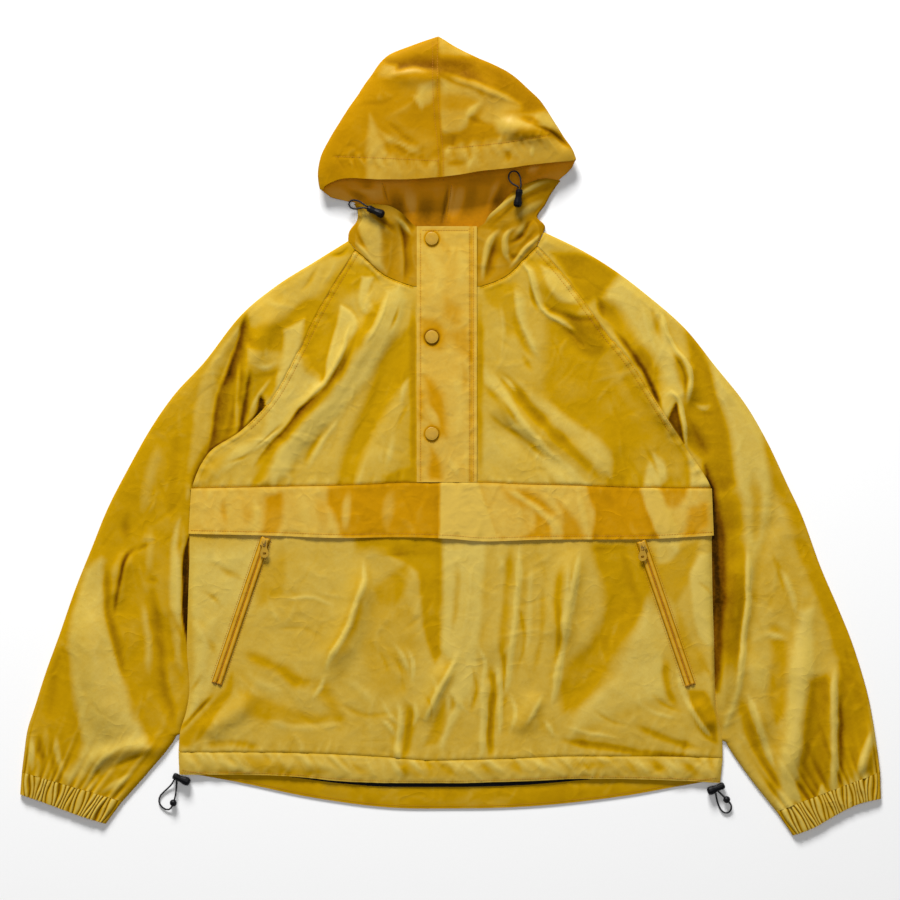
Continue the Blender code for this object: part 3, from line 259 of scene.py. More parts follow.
# Cord loops: the route of each one, out of its lock and back into it
CORD_ROUTES = {
    "hem_cord_left": rows_of(Spot, """
        -329.2 -411.5 4.6, -329.6 -417.2 3.4, -330.3 -425 2.8, -331.8 -433.6 4.0, -333.4 -438 4.2,
        -335.0 -442.4 4.0, -339.6 -446.6 1.8, -346 -444.4 1.05, -350.6 -438 1.05, -350 -431 1.05,
        -345.4 -425.6 1.05, -339.4 -420 1.7, -334.9 -415 3.2, -332.4 -410.6 4.6
    """),
    "hem_cord_right": rows_of(Spot, """
        320.9 -423.9 4.6, 323.4 -426.6 4.4, 327.1 -430.1 4.3, 331 -434 4.2, 333.9 -437 4.2,
        336.6 -441.4 3.0, 336.2 -446.6 1.6, 332.8 -450.2 1.05, 328.2 -450 1.05, 324 -446 1.05,
        321 -439.6 1.05, 319 -433 2.2, 317.8 -426.1 4.6
    """),
    "hood_cord_left": rows_of(Spot, """
        -100.9 274.5 13.3, -103.6 275.6 12.8, -108.6 275.4 11.4, -114.6 274.4 9.6, -119.8 276 8.6,
        -122.4 280.2 8.4, -120.4 284.2 8.8, -115.2 285 9.8, -109.6 283.2 11.2, -104.4 279.6 12.6,
        -99.9 276.8 13.4
    """),
    "hood_cord_right": rows_of(Spot, """
        80.7 298.2 18.4, 79.9 300.2 18.5, 76.4 302 18.8, 72 304.8 19, 69 309.5 19, 69.6 315.2 19,
        73.8 318.8 19, 79 317.6 18.9, 82.2 312.5 18.8, 83.4 306 18.6, 83.5 301.5 18.5, 83.1 298 18.4
    """),
}

Fold = namedtuple("Fold", "half_width height tone edge lean line")
Seam = namedtuple("Seam", "line side allowance rows groove pucker shade")

# Fineness of the grids, in points
CREASE_POINTS, OUTLINE_POINTS = 12, 32
BACK_COLUMNS = 76
CHEST_ROWS, CHEST_COLUMNS = 148, 118
BODY_COLUMNS, BODY_ROWS, FLAP_ROWS = 250, 128, 28
HEM_ROWS = 15
SLEEVE_UPPER, SLEEVE_LOWER, SLEEVE_COLUMNS, SLEEVE_FLOOR = 158, 146, 76, 10
CUFF_ROWS = 18
HOOD_FINENESS, HOOD_BACK_ROWS, HOOD_FRONT_ROWS, HOOD_SIDE_ROWS = 10, 50, 92, 60

# Folds and tone areas
LEAST_WIDTH = 2.0  # narrowest half width of a fold
USUAL_EDGE = 0.6  # share of a fold's half width over which its tone fades
FOLD_REACH = 3.2  # half widths that a fold reaches aside
FOLD_FADE = 26  # millimetres over which a fold's ends fade
AREA_REACH = 1.7  # edge widths that a tone area reaches past its outline
AREA_FADE = 1.6  # edge widths over which a tone area's swell fades
SMALL_CREASES = 0.0011  # how many short wrinkles lie on a square millimetre
PAINTED_CREST_LIGHT = 0.6  # how much paler a crest is (painted highlight) and a trough deeper (painted shade), per millimetre
CREST_CELLS = 3  # how many cells round a point its crest is measured against
LOWEST_TONE, HIGHEST_TONE = -1.5, 1.1  # from the dark tone, painted shade in a gap, to the pale one, painted sheen
# Smooth cloth: how far it goes below the placket, how wide it fades beside the placket, and where
# it starts and ends to fade beside a zip
PLACKET_BELOW, PLACKET_FADE = 12, 18.0
ZIP_SMOOTH, ZIP_FREE = 14.0, 30.0

# Sewn seams
SEAM_REACH = 30.0  # how far aside of its line a seam works on the cloth
GROOVE_WIDTH = 1.5  # of the groove in which two panels meet
ALLOWANCE_LIFT = 0.22  # how far the allowance below lifts the cloth on one side of the seam
ROW_DEPTH, ROW_WIDTH = 0.25, 1.3  # the line that a row of stitches presses into the cloth
PUCKER_LIFT, PUCKER_REACH, PUCKER_LENGTH = 0.6, 7.0, 5.5  # of the small waves along stitches

FRAME_MIDDLE = (-1.2, -14.4)  # where the camera stands, in plan

# Stitched lines of the hood
HOOD_CENTRE = rows_of(Edge, "-19 474, -19 426, -17 386, -12 330, -12 308")
BRIM_STITCH = {
    "left": rows_of(Edge, "-140 336, -94 334, -50 332, -12 330"),
    "right": rows_of(Edge, "-5 345, 48 350, 90 356, 118 361"),
}

# Rows sewn on the placket: along its left edge, along its top and where the welt is joined on
PLACKET_ROWS = {
    "placket_left": ((-36.5, -53), (-36.5, 249)),
    "placket_top": ((-36.5, 249), (22.5, 249)),
    "placket_welt": ((24.6, -53), (24.6, 253.5)),
}
# Panels on which each stitched seam's threads lie
STITCHED_ON = {
    "raglan_left": ("chest_left",),
    "raglan_right": ("chest_right",),
    "neck_left": ("chest_left",),
    "neck_right": ("chest_right",),
    "flap_edge": ("pocket_flap",),
    "hem_edge": ("hem_front",),
    "back_hem_edge": ("hem_back", "hem_front"),
    "zip_left": ("front_lower",),
    "zip_right": ("front_lower",),
    "hood_centre": ("hood_left", "hood_right"),
    "brim_left": ("hood_left",),
    "brim_right": ("hood_right",),
    **{name: ("placket",) for name in PLACKET_ROWS},
}
BAR_TACK_HALF, BAR_TACK_PITCH = 7.5, 1.9  # the close stitches at a zip's lower end
RAGLAN_STITCH_END = 10.0  # the raglan's stitches end there, above the underarm
# Felled seam inside the hood and hem of the face opening, seen in the opening
HOOD_INSIDE_ROWS = {
    "hood_back": (((-3.4, 306), (-5.2, 288), (-10.2, 257)), ((0.8, 306), (-1.2, 288), (-6.4, 257))),
    "hood_left": (((-83, 308), (-79, 295), (-75, 282)),),
}

# Zips: half width of the strip, where the crest of each folded lip lies, pitch of the teeth
ZIP_HALF, ZIP_LIP, TOOTH_PITCH = 6.1, 3.1, 1.9
ZIP_ROWS, ZIP_LAYER = 64, 5.95  # fineness along the strip, and height of its middle
ZIP_THICKNESS = 0.7

# How each sheet was cut, seam allowances included: width and length in metres, area in square
# metres, how it is held and the sheets on which it lies
Cut = namedtuple("Cut", "width length area held on")

# The tones below are painted light: pale ones painted sheen, low ones painted shade in folds and
# gaps.
# Folds and tone areas laid on each panel, one to a row:
# half width (0 for an area with its outline), height, tone and, where they aren't the usual ones,
# edge and lean; then places along X and Y.
# A line that begins with a space goes on with the row above it.
FOLDS = {
    "chest_left": """
0 -.4 .08 6: -121 216 -95 202 -88 185 -112 175 -131 163 -137 130 -144 86 -155 65 -168 88
 -178 115 -167 144 -148 175
0 .8 .85 3.6: -185 112 -172 91 -154 65 -167 48 -191 31 -220 0 -251 -26 -295 -55 -287 -36
 -258 -12 -227 5 -217 36 -200 79
0 1.6 .95 2.4: -132 158 -119 151 -113 139 -120 113 -134 84 -151 64 -148 91 -140 127
0 .6 .9 2.4: -107 192 -94 192 -100 170 -90 151 -100 150 -110 163
0 .2 .6 4.8: -95 185 -71 187 -76 175 -90 166 -95 170
0 0 .1 4.8: -181 106 -167 91 -157 70 -175 79
0 1.6 .92 4.8: -60 185 -53 166 -61 139 -78 108 -97 77 -119 48 -145 19 -179 -14 -208 -53 -232 -55
 -198 -2 -167 29 -138 58 -119 89 -100 118 -83 151 -74 178
0 -.9 0 6: -59 127 -44 139 -43 79 -59 62 -78 31 -96 -5 -112 -43 -119 -60 -140 -60 -128 -17
 -112 24 -97 60 -83 96
0 0 .35 6: -56 55 -44 65 -43 -50 -59 -48 -66 -2
0 0 -.05 4.8: -80 -46 -42 -34 -41 -60 -80 -60
0 0 .1 4.8: -241 -55 -227 -29 -210 -10 -217 -38 -220 -58
0 0 .25 6: -301 -43 -284 -24 -263 -14 -275 -38 -294 -58
7.2 -.5 -.14: -80 170 -97 142 -114 113 -126 96
4.8 -2.2 -.85 .7 -.75: -118 130 -125 106 -138 79 -155 58 -179 36 -200 10 -222 -13 -241 -41
3.6 0 -.54 .8: -131 91 -143 72 -160 53 -181 32
3 1.4 1: -120 142 -127 113 -140 84 -156 62 -176 43
3.6 1.2 1 .6 .3: -72 180 -80 156 -92 130 -107 106
3.6 0 -.32 .6 .5: -42 182 -43 130 -44 70 -43 10 -43 -58
1.9 -.6 .1: -196 22 -222 0 -248 -22 -275 -31
1.7 .7 1: -200 14 -227 -6 -253 -26
3.6 .9 .8: -128 34 -145 7 -162 -17 -174 -41
3.6 -.7 .2: -150 12 -167 -12 -181 -38
2.4 -.6 .15: -109 211 -95 197 -83 180
3.6 .8 .85: -90 182 -100 166 -107 146
2.4 -.6 .1: -59 166 -66 146 -76 125
2.4 -.5 .2: -42 55 -56 34 -66 7
2.9 .7 .8: -48 79 -58 55 -61 34
3.6 .6 .75: -66 10 -73 -17 -78 -43
""",
    "chest_right": """
0 -.8 .05 8.4: 116 139 149 139 184 130 212 86 229 60 248 31 277 -5 292 -38 304 -62 186 -62
 179 -38 167 -12 138 17 116 46 112 86
0 -.2 .1 4.8: 37 182 73 187 79 130 68 122 59 151 42 163
0 -.3 .12 4.8: 83 218 113 214 138 185 155 161 152 146 126 151 109 168 95 194
0 .8 .8 3.6: 108 206 128 197 148 175 152 161 133 164 116 181
0 -.6 -.3 6: 128 139 179 142 187 110 169 96 148 110
0 .8 .7 4.8: 83 65 116 43 148 17 174 -2 193 -29 193 -46 179 -38 155 -10 121 19 95 41
0 1.1 .85 3.6: 35 94 44 79 68 50 88 22 116 -10 148 -38 167 -58 138 -58 104 -26 78 10 59 41 37 72
0 .2 .6 6: 37 22 59 5 95 -17 121 -46 121 -60 37 -60
0 .5 .85 3.6: 244 -19 256 -29 260 -46 251 -58 232 -58 236 -36
0 .8 .9 3.6: 284 -14 304 -24 312 -46 308 -60 292 -60 287 -36
0 -.3 .2 4.8: 260 -17 280 -22 287 -60 265 -60
7.2 -1.6 -.2 .5: 49 86 76 60 102 29 131 -2 160 -31 186 -58
4.8 -.7 .05: 32 67 52 50 71 31 95 10
3.6 -.6 .1: 37 36 61 17 90 -2 119 -29
3.6 .8 .9: 42 86 64 55 83 24 112 -10 140 -36
3.6 2 1 .6 -.5: 80 218 92 199 98 175 108 156 131 139 155 122
2.9 -1 -.09: 92 190 97 166 107 149
4.8 1.4 .9 .6 -.3: 73 187 80 163 85 139 95 115 107 91
4.8 -1 .05: 76 158 80 130 90 106 102 89
3.6 -.7 .15: 83 106 90 89 100 74
4.8 -1.4 -.45 .8: 102 168 124 152 145 143 167 142 186 149
3.6 -.8 -.27: 133 139 150 118 167 106
2.4 .8 .8: 244 43 263 17 287 -12
2.9 .6 .45: 59 166 64 130 59 86
3.6 0 -.23 .6 -.4: 34 178 34 106 32 22 34 -58
6 .4 .22: 186 98 205 65 222 31
2.9 -.6 0: 227 -2 241 -24 251 -48
2.4 .7 .75: 55 79 71 65 83 50
""",
    "pocket_flap": """
0 -.5 0 4.8: -148 -55 -127 -55 -61 -50 -17 -50 -12 -74 -13 -98 -12 -125 -61 -125 -109 -122
 -131 -122 -138 -98 -148 -79
0 .7 1.1 1.9: -12 -50 28 -50 37 -74 55 -127 -12 -127 -13 -98
0 -.3 .15 4.8: -224 -70 -205 -65 -203 -98 -215 -115 -229 -115 -224 -94
0 -.3 .15 4.8: 100 -77 116 -89 119 -120 92 -120 100 -101
0 -.3 .1 4.8: 126 -74 148 -96 160 -122 131 -122 133 -98
0 -.6 -.02 3.6: 162 -53 227 -53 239 -89 256 -125 167 -125 173 -94 167 -74
0 .7 1.05 3: 227 -55 246 -58 262 -89 275 -120 256 -120 241 -96
0 -.3 .12 4.8: 251 -58 289 -55 270 -84 260 -82
0 -.3 .12 4.8: 287 -84 306 -77 310 -101 294 -118 280 -118
0 -.2 .3 6: 59 -60 95 -62 131 -98 107 -89 73 -79
4.8 0 .35: -251 -67 -246 -91 -251 -115
6 0 .3: -160 -62 -155 -89 -150 -118
7.2 .5 .9: -181 -60 -175 -89 -172 -118
3.6 .7 .95: 59 -58 88 -74 116 -98 138 -122
3.6 -.6 .3: 73 -60 104 -77 131 -98
3.6 .9 1: 150 -58 157 -84 164 -120
3.6 -.5 .4: -270 -65 -275 -86 -268 -110
3.6 .6 .95: -239 -62 -234 -89 -239 -115
4.8 .4 .85: -121 -58 -126 -86 -128 -120
6 .3 .45: -68 -55 -76 -86 -78 -120
""",
    "front_lower": """
0 .8 .9 4.8: -318 -120 -222 -120 -232 -149 -246 -194 -266 -242 -282 -286 -300 -317 -318 -341
 -311 -302 -308 -266 -313 -194
0 0 -.3 4.8: -119 -115 -4 -115 -7 -137 -32 -139 -71 -142 -102 -134
0 -.7 0 3.6: -80 -134 -40 -130 -11 -122 -12 -260 -18 -271 -28 -245 -37 -199 -42 -161 -61 -149
0 .9 .92 4.8: -11 -118 40 -118 37 -194 32 -257 23 -302 6 -341 -11 -372 -6 -322 6 -278 -1 -262
 -12 -260
0 -.3 .1 4.8: -95 -180 -64 -158 -49 -149 -66 -202 -85 -206
0 -.4 .1 3.6: -6 -314 -2 -334 -16 -367 -32 -370 -20 -341
0 -.3 -0 3.6: -275 -302 -263 -281 -263 -302 -277 -326 -299 -360 -318 -372 -328 -365 -301 -334
0 -.2 .2 4.8: -227 -149 -203 -142 -200 -182 -217 -194 -234 -209
0 -.9 .02 7.2: 167 -120 227 -120 246 -146 241 -182 224 -223 198 -257 181 -293 157 -322 138 -331
 131 -302 143 -269 167 -242 184 -209 179 -170
0 .7 .8 6: 239 -192 260 -242 256 -276 265 -302 227 -317 184 -338 140 -360 155 -329 191 -293
 217 -245
0 -.3 .08 4.8: 246 -132 299 -122 289 -158 277 -185 268 -199 253 -175
0 .3 .7 3.6: 246 -120 275 -122 265 -146 251 -149
0 .7 .95 3.6: 299 -142 318 -137 320 -250 306 -247 289 -197 287 -166
0 -.3 .12 4.8: 268 -197 289 -242 306 -276 294 -286 277 -257
0 -.6 -.18 3.6: 284 -302 301 -302 318 -331 320 -367 306 -360 289 -331
0 -.2 .12 6: -253 -302 -217 -314 -181 -329 -145 -334 -169 -350 -217 -341 -248 -329
0 -.2 .3 8.4: -97 -194 -49 -209 -42 -266 -66 -314 -95 -302 -107 -242
7.2 -.8 -.09 .7: -258 -254 -232 -266 -205 -276 -179 -293 -155 -290
9.6 -.7 0 .7: -164 -283 -150 -310 -136 -336 -131 -358
2.9 2.2 1.15 .5 -.3: -106 -142 -104 -163 -114 -194 -125 -228 -138 -250 -146 -266 -149 -286
6 -.6 .15: -107 -185 -116 -221 -128 -250
2.4 1 .9: -149 -281 -157 -300 -169 -317
3.8 2.2 1.2 .5 -.4: 13 -252 2 -274 -11 -298 -23 -322 -34 -346
6 -1 -.09: -59 -312 -48 -334 -52 -365 -58 -396
2.6 1.6 1.05: -64 -314 -61 -343 -65 -370 -60 -406
2.4 1 1: -85 -336 -73 -348 -66 -362
2.4 1 .95: -44 -314 -42 -334 -49 -353
3.6 -.8 .2: -6 -302 4 -319 -4 -341
2.4 1 1: 1 -300 11 -319 23 -334
1.9 -.7 -.41 .7: -280 -300 -300 -323 -318 -343 -332 -360
4.8 -.5 .05: -304 -372 -263 -366 -224 -372
4.8 -.8 .12: 73 -122 68 -170 64 -221 59 -276
3.6 -.8 .08: 59 -242 65 -290 61 -334
3.6 1.8 1 .5 -.3: 83 -122 80 -182 73 -242 67 -293 59 -329
4.1 2 1.15 .5 -.3: 154 -127 145 -182 136 -235 128 -286 121 -329
4.8 -.9 .08: 133 -142 127 -194 131 -245 124 -276
2.6 1 .95: 114 -302 100 -329 85 -350
2.6 1.2 .95: 112 -334 118 -348 125 -360
4.8 -1 0: 256 -254 260 -302 277 -331
2.9 1.5 1.05: 268 -266 277 -302 296 -338 318 -365
4.8 -.8 -.07: 215 -341 251 -358 304 -374
4.8 -.9 -.18: 121 -362 179 -370 232 -378 304 -383
5.3 -1.6 -.07 .35: 44 -266 50 -302 46 -346 50 -391
2.4 1.8 1.1: 54 -271 59 -314 58 -362
3.6 1.2 1: 35 -286 40 -334 37 -386
2.4 -.7 .2: -308 -122 -296 -127 -287 -134
3.6 -.5 .35: -287 -151 -263 -163 -241 -173
3.6 -.5 .4: -296 -235 -287 -250 -282 -266
1.8 .7 .95: -313 -302 -301 -286 -294 -266
1.9 -.5 .2: -316 -310 -305 -293 -298 -274
2.4 .8 .95: 299 -163 308 -170 318 -182
2.4 -.6 .3: 292 -170 304 -180 316 -194
2.4 .7 .9: 294 -204 306 -218 316 -233
2.4 -.6 .2: 299 -266 308 -281 316 -298
6 .6 .7: -253 -276 -227 -295 -193 -307
2.4 .7 .95: -54 -250 -44 -274 -47 -302
2.4 -.6 .2: -71 -257 -59 -281 -56 -314
2.4 .7 .95: -83 -314 -73 -334 -56 -350
2.4 -.6 .15: -37 -302 -23 -322 -25 -350
2.4 .6 .9: -28 -281 -16 -302 -18 -329
2.4 .6 .95: 30 -242 40 -271 35 -302
2.4 -.7 .2: 23 -266 30 -302 23 -338
2.4 .6 .9: 68 -302 78 -329 68 -362
2.4 -.6 .3: 80 -194 88 -242 78 -290
2.4 .6 .9: 140 -146 138 -194 131 -242
2.4 .6 .9: -304 -137 -287 -146 -263 -154
2.4 -.5 .4: -301 -182 -282 -194 -272 -209
2.4 .6 .95: -311 -218 -301 -235 -296 -254
2.4 .6 .9: 222 -314 246 -329 277 -336
2.4 -.6 .2: 236 -302 256 -319 284 -329
2.4 .6 .85: 131 -343 167 -355 205 -360
2.4 .5 .8: -205 -194 -169 -190 -133 -202
2.4 -.4 .45: -217 -230 -181 -228 -150 -242
6 .6 .7: -138 -286 -109 -302 -88 -326
4.8 .5 .65: -227 -338 -181 -348 -121 -343
3.6 -.5 .25: -145 -314 -97 -334 -66 -329
2.9 .7 .75: -71 -242 -54 -269 -47 -295
2.9 -.6 .3: -100 -242 -80 -269 -73 -295
3.6 .6 .75: 97 -146 95 -206 88 -266
3.6 -.5 .3: 112 -170 109 -230 100 -290
3.6 .6 .75: 23 -146 20 -206 13 -254
3.6 -.5 .55: 8 -146 6 -194 1 -242
2.4 -.6 .4: 167 -322 191 -338 222 -348
""",
    "hem_front": """
0 -.2 .25 4.8: -258 -379 -227 -384 -181 -396 -145 -398 -181 -406 -241 -396
0 -.1 .35 4.8: -61 -386 -13 -391 23 -401 -13 -408 -56 -403
5 -.56 .17: -133 -384 -114 -396 -95 -406
4.3 .7 .8025: -76 -379 -66 -396 -56 -413
3.8 .7 .8025: -56 -382 -40 -396 -25 -410
4.3 -.7 .115: -66 -386 -56 -398 -52 -413
5 -.63 .225: -32 -384 -6 -396 16 -410
4.3 .7 .775: -16 -382 11 -394 32 -410
5 -.7 .17: 23 -382 40 -396 59 -410
4.3 .77 .8025: 35 -379 56 -394 78 -410
5 -.63 .1975: 59 -384 78 -398 95 -410
4.3 .63 .7475: 83 -384 116 -396 143 -408
5 -.49 .28: 131 -389 167 -394 203 -391
5 -.7 .17: 198 -382 217 -396 227 -408
4.3 .77 .8025: 208 -382 229 -394 241 -408
5 -.7 .17: 232 -382 251 -396 263 -408
4.3 .77 .8025: 244 -382 265 -394 280 -408
5 -.7 .17: 270 -384 287 -396 301 -410
4.3 .7 .775: 280 -382 299 -396 313 -413
5 .56 .72: -301 -382 -265 -394 -227 -403
5 .56 .72: -186 -384 -157 -391 -128 -403
4.3 -.56 .2525: -294 -398 -263 -403 -234 -406
""",
    "sleeve_left": """
0 .4 .55 7.2: -124 218 -143 190 -157 173 -181 163 -199 146 -227 137 -241 149 -241 166 -211 184
 -181 202 -152 216
0 -.4 -.02 4.8: -241 118 -200 139 -174 166 -155 158 -179 132 -212 110 -239 106
0 .3 .4 4.8: -248 110 -227 103 -193 108 -200 91 -222 82 -244 91
0 .3 .6 4.8: -246 151 -232 161 -227 144 -241 130 -248 137
0 1 .85 3.6: -200 130 -176 142 -180 110 -193 84 -208 43 -217 17 -229 12 -220 48 -205 86 -200 110
0 -.5 -.05 3.6: -253 79 -227 70 -208 77 -210 55 -220 41 -241 17 -256 2
0 .9 .42 4.2: -241 146 -256 125 -275 94 -282 70 -292 10 -306 -46 -318 -74 -313 -14 -304 46
 -296 79 -275 113
0 1.2 .78 6: -440 -161 -416 -144 -418 -194 -407 -242 -391 -290 -378 -341 -359 -367 -397 -377
 -421 -386 -457 -415 -467 -413 -440 -372 -445 -338 -455 -290 -458 -242 -450 -194
0 .3 .9 3.6: -325 -98 -329 -146 -328 -182 -323 -209 -332 -209 -335 -146 -331 -110
0 -.3 .5 4.8: -424 -386 -392 -374 -371 -374 -395 -391 -416 -406 -431 -425 -438 -420
8.4 -2.6 -.68 .6 -.6: -242 158 -253 120 -266 86 -277 50 -284 10 -295 -34
4.8 -1.5 -.72 .6 -.4: -244 156 -254 118 -265 86 -275 55
6 -1 -.5 .8 -.3: -253 91 -256 55 -265 17 -277 -14
3.6 -2 -.81 .7 -.3: -240 86 -244 53 -252 17 -258 -12
3.6 -1.6 -.81 .7: -224 50 -224 34 -236 19 -248 7
0 -1.6 -1.3 1.6: -228 50 -222 44 -222 29 -238 13 -248 2 -256 -6 -253 5 -241 20 -233 32
0 -1.6 -1.5 1.6: -314 -118 -313 -158 -313 -206 -314 -252 -319 -233 -323 -202 -323 -166 -319 -137
4.8 1.6 .8: -328 -122 -329 -170 -328 -218 -325 -254
3.6 -.6 -.14: -248 84 -232 73 -212 77 -198 91
2.9 .5 .75: -241 91 -224 84 -203 94
2.4 .6 .3 .8: -256 96 -256 55 -258 10
2.4 .8 .6: -246 22 -234 43 -222 62 -210 77
6 -1.5 -.81 .8 .3: -253 0 -282 -12 -301 -38 -313 -70
2.2 -1.1 -.68 .7 .4: -373 -125 -389 -142 -397 -170 -402 -194 -404 -221
4.8 .9 .2: -392 -132 -402 -156 -407 -185
6 -.8 -.27: -385 -84 -390 -106 -388 -130
2.9 -.9 -.32: -380 -134 -366 -127 -352 -122
7.2 -1.2 -.32 .8 .2: -361 -168 -353 -214 -347 -254 -344 -295 -335 -326 -328 -360
4.8 1.2 .25: -371 -194 -364 -242 -361 -290
3.6 -.5 -.18: -368 -175 -359 -170 -347 -175
3.6 -.8 -.32: -340 -199 -330 -223 -320 -247
4.8 -1 -.18: -414 -146 -414 -194 -402 -242 -388 -302
4.8 1 .3: -335 -194 -330 -242 -320 -290
3.6 1.2 1 .5: -392 -367 -412 -382 -426 -396 -438 -415
4.8 -1 .2: -409 -391 -424 -406 -433 -425
3.6 -1 0: -361 -374 -392 -389 -416 -403
4.8 -1.2 -.41: -496 -350 -493 -377 -488 -401
3.6 1.2 .9: -505 -350 -505 -382 -503 -406
3.6 1 .8: -476 -350 -472 -382 -462 -410
3.6 -.8 -.18: -481 -362 -479 -391 -472 -415
3.6 .9 .85: -397 -434 -412 -442 -421 -449
3.6 -.8 0: -385 -415 -407 -430 -424 -442
3.6 .8 .7: -373 -398 -400 -415 -424 -430
8.4 -.8 -.09: -469 -242 -479 -302 -481 -350
6 .8 .4: -349 -2 -361 -50 -373 -98
7.2 -.8 -.09: -328 10 -335 -50 -335 -110
4.8 .6 .3: -361 -98 -361 -146 -368 -170
4.8 .7 .6: -227 166 -205 158 -181 158
3.6 -.7 .2: -157 211 -169 190 -186 173
3.6 .6 .65: -138 216 -143 199 -155 182
2.9 -.8 -.27 .6 -.3: -121 233 -133 223 -150 221
""",
    "sleeve_right": """
0 .3 .5 7.2: 107 247 155 228 179 216 161 211 131 223 116 230
0 -.6 -.2 6: 121 223 179 218 212 194 205 175 179 170 164 161 150 180 136 202
0 1.2 .8 6: 205 197 246 168 256 139 263 110 270 79 277 48 256 48 244 74 227 110 210 146 186 170
0 -1 -.22 6: 280 139 301 108 319 65 331 10 342 -58 313 -65 299 -24 282 -10 278 31 289 58 287 89
0 1.4 .85 4.8: 306 110 347 50 376 2 384 -50 382 -103 366 -149 360 -197 353 -245 344 -293
 332 -336 323 -362 342 -314 349 -257 354 -197 353 -125 349 -77 342 -29 330 31 316 70
0 -.5 0 6: 376 2 407 -55 455 -146 500 -242 508 -314 498 -322 479 -293 445 -221 419 -149 397 -79
 383 -50
0 .2 .45 7.2: 380 -98 414 -142 438 -194 455 -242 426 -266 397 -242 376 -194 366 -154
0 1.4 .9 6: 419 -209 433 -204 433 -254 426 -314 419 -386 409 -449 390 -454 392 -410 402 -338
 407 -266
0 -.5 .08 6: 380 -218 402 -242 402 -314 390 -343 380 -314 376 -266
0 -1 -.3 7.2: 428 -290 450 -286 452 -338 450 -422 426 -442 416 -434 421 -362
0 .4 .7 6: 356 -194 376 -194 385 -242 373 -302 359 -290 349 -254
0 -.6 -.15 6: 469 -271 498 -305 505 -341 493 -389 474 -415 464 -398 466 -314
0 -.3 -.1 4.8: 500 -367 515 -377 515 -406 500 -403
18 -.8 -.54 .9: 313 -22 325 -74 330 -146 330 -218 323 -302
0 -1 -1.05 4.8: 306 -34 314 -48 324 -86 329 -128 328 -194 323 -266 317 -307 308 -302 312 -194
0 -.6 -1.5 3: 308 -48 316 -65 319 -98 320 -134 319 -194 316 -254 312 -290 308 -290 310 -194
9.6 -1.4 -.36 .7 -.3: 172 180 196 139 222 101 241 67 256 34
3.8 -1.8 -.99 .7: 193 134 215 103 232 77 246 50 257 24
4.8 -1.2 -.54 .8: 175 175 181 158 186 139
2.9 2.2 1.1 .4: 253 158 256 130 268 106 282 89 288 65 284 36
2.9 -1.4 -.27: 263 103 276 84 282 60 280 38
6 -1.4 -.14: 268 106 277 77 287 48
2.6 2.2 1.1 .4: 253 46 264 54 274 43 280 17 282 -14
0 -1.4 -1 1.9: 260 22 270 41 276 17 280 -7 270 5
6 -1.4 -.63 .9: 284 29 294 5 313 -29
3.6 .8 .4: 289 43 304 36 318 43
3.6 2 1.1 .5 -.3: 356 -122 355 -194 349 -254 342 -314
7.2 -1.2 -.18 .7: 344 -302 354 -338 366 -374 383 -408 400 -442
3.1 1.6 .95 .5: 354 -302 365 -336 376 -367 390 -401
3.6 1 .8: 373 -233 390 -238 407 -242
4.1 2 1.05 .5: 462 -269 460 -314 460 -365 460 -430
3.6 -.9 -.45 .8: 468 -302 468 -350 468 -394 467 -432
4.8 1.6 .95: 511 -343 498 -377 488 -418
3.6 1 .9: 505 -396 496 -415 491 -430
3.6 1.2 1: 400 -410 414 -427 426 -449
3.6 -1 -.09: 409 -406 421 -422 433 -442
3.6 1.4 1: 448 -410 445 -425 450 -439
3.6 -.8 .1: 383 -132 395 -158 400 -190
3.6 .9 .85: 390 -146 407 -182 414 -218
3.6 .8 .85: 227 166 236 130 246 98
3.6 -.7 .3: 239 166 246 134 256 106
6 -.7 .25: 361 -38 368 -86 366 -134
""",
    "hood_left": """
0 -.8 -.75 8.4: -76 451 -18 456 -8 454 -8 437 -40 438 -56 436 -78 430
0 .5 .45 4.8: -80 446 -66 446 -64 434 -76 427 -85 432
0 .5 .6 4.8: -98 384 -88 365 -73 336 -59 307 -100 305 -100 346
0 -.4 .05 4.8: -78 365 -37 346 -16 338 -16 329 -59 336 -71 346
0 .4 .7 4.8: -37 420 -20 425 -23 401 -32 396 -40 408
0 .2 .35 4.8: -80 334 -18 326 -16 307 -80 305
4.1 1 .35 .6 -.3: -80 430 -59 434 -37 437 -13 437
2.9 -.9 -.14: -85 379 -68 370 -49 355 -28 346
3.6 .9 .55: -92 370 -73 355 -54 346 -25 336
3.6 -.8 -.09: -76 358 -59 343 -37 334
2.9 .8 .7: -49 410 -37 401 -32 386
3.6 -.6 -.09: -119 394 -95 398 -66 396
3.6 -.6 -.05: -133 346 -119 350 -107 338
0 .8 .75 3.6: -112 278 -90 266 -80 233 -78 199 -92 209 -102 233 -109 254
0 -.4 -.05 4.8: -80 242 -59 240 -58 192 -76 197 -83 216
5.5 -2.2 -.85 .8 -.5: -66 269 -56 242 -53 216 -55 182
3.6 -2 -.81 .8 -.3: -102 272 -80 260 -61 242
2.9 1.8 .9: -71 269 -56 254 -44 238
3.6 -1.4 -.54 .8: -66 274 -52 259 -40 245
2.9 1.4 1: -119 240 -104 226 -88 206
2.4 -.8 -.18: -114 254 -107 238 -95 223
""",
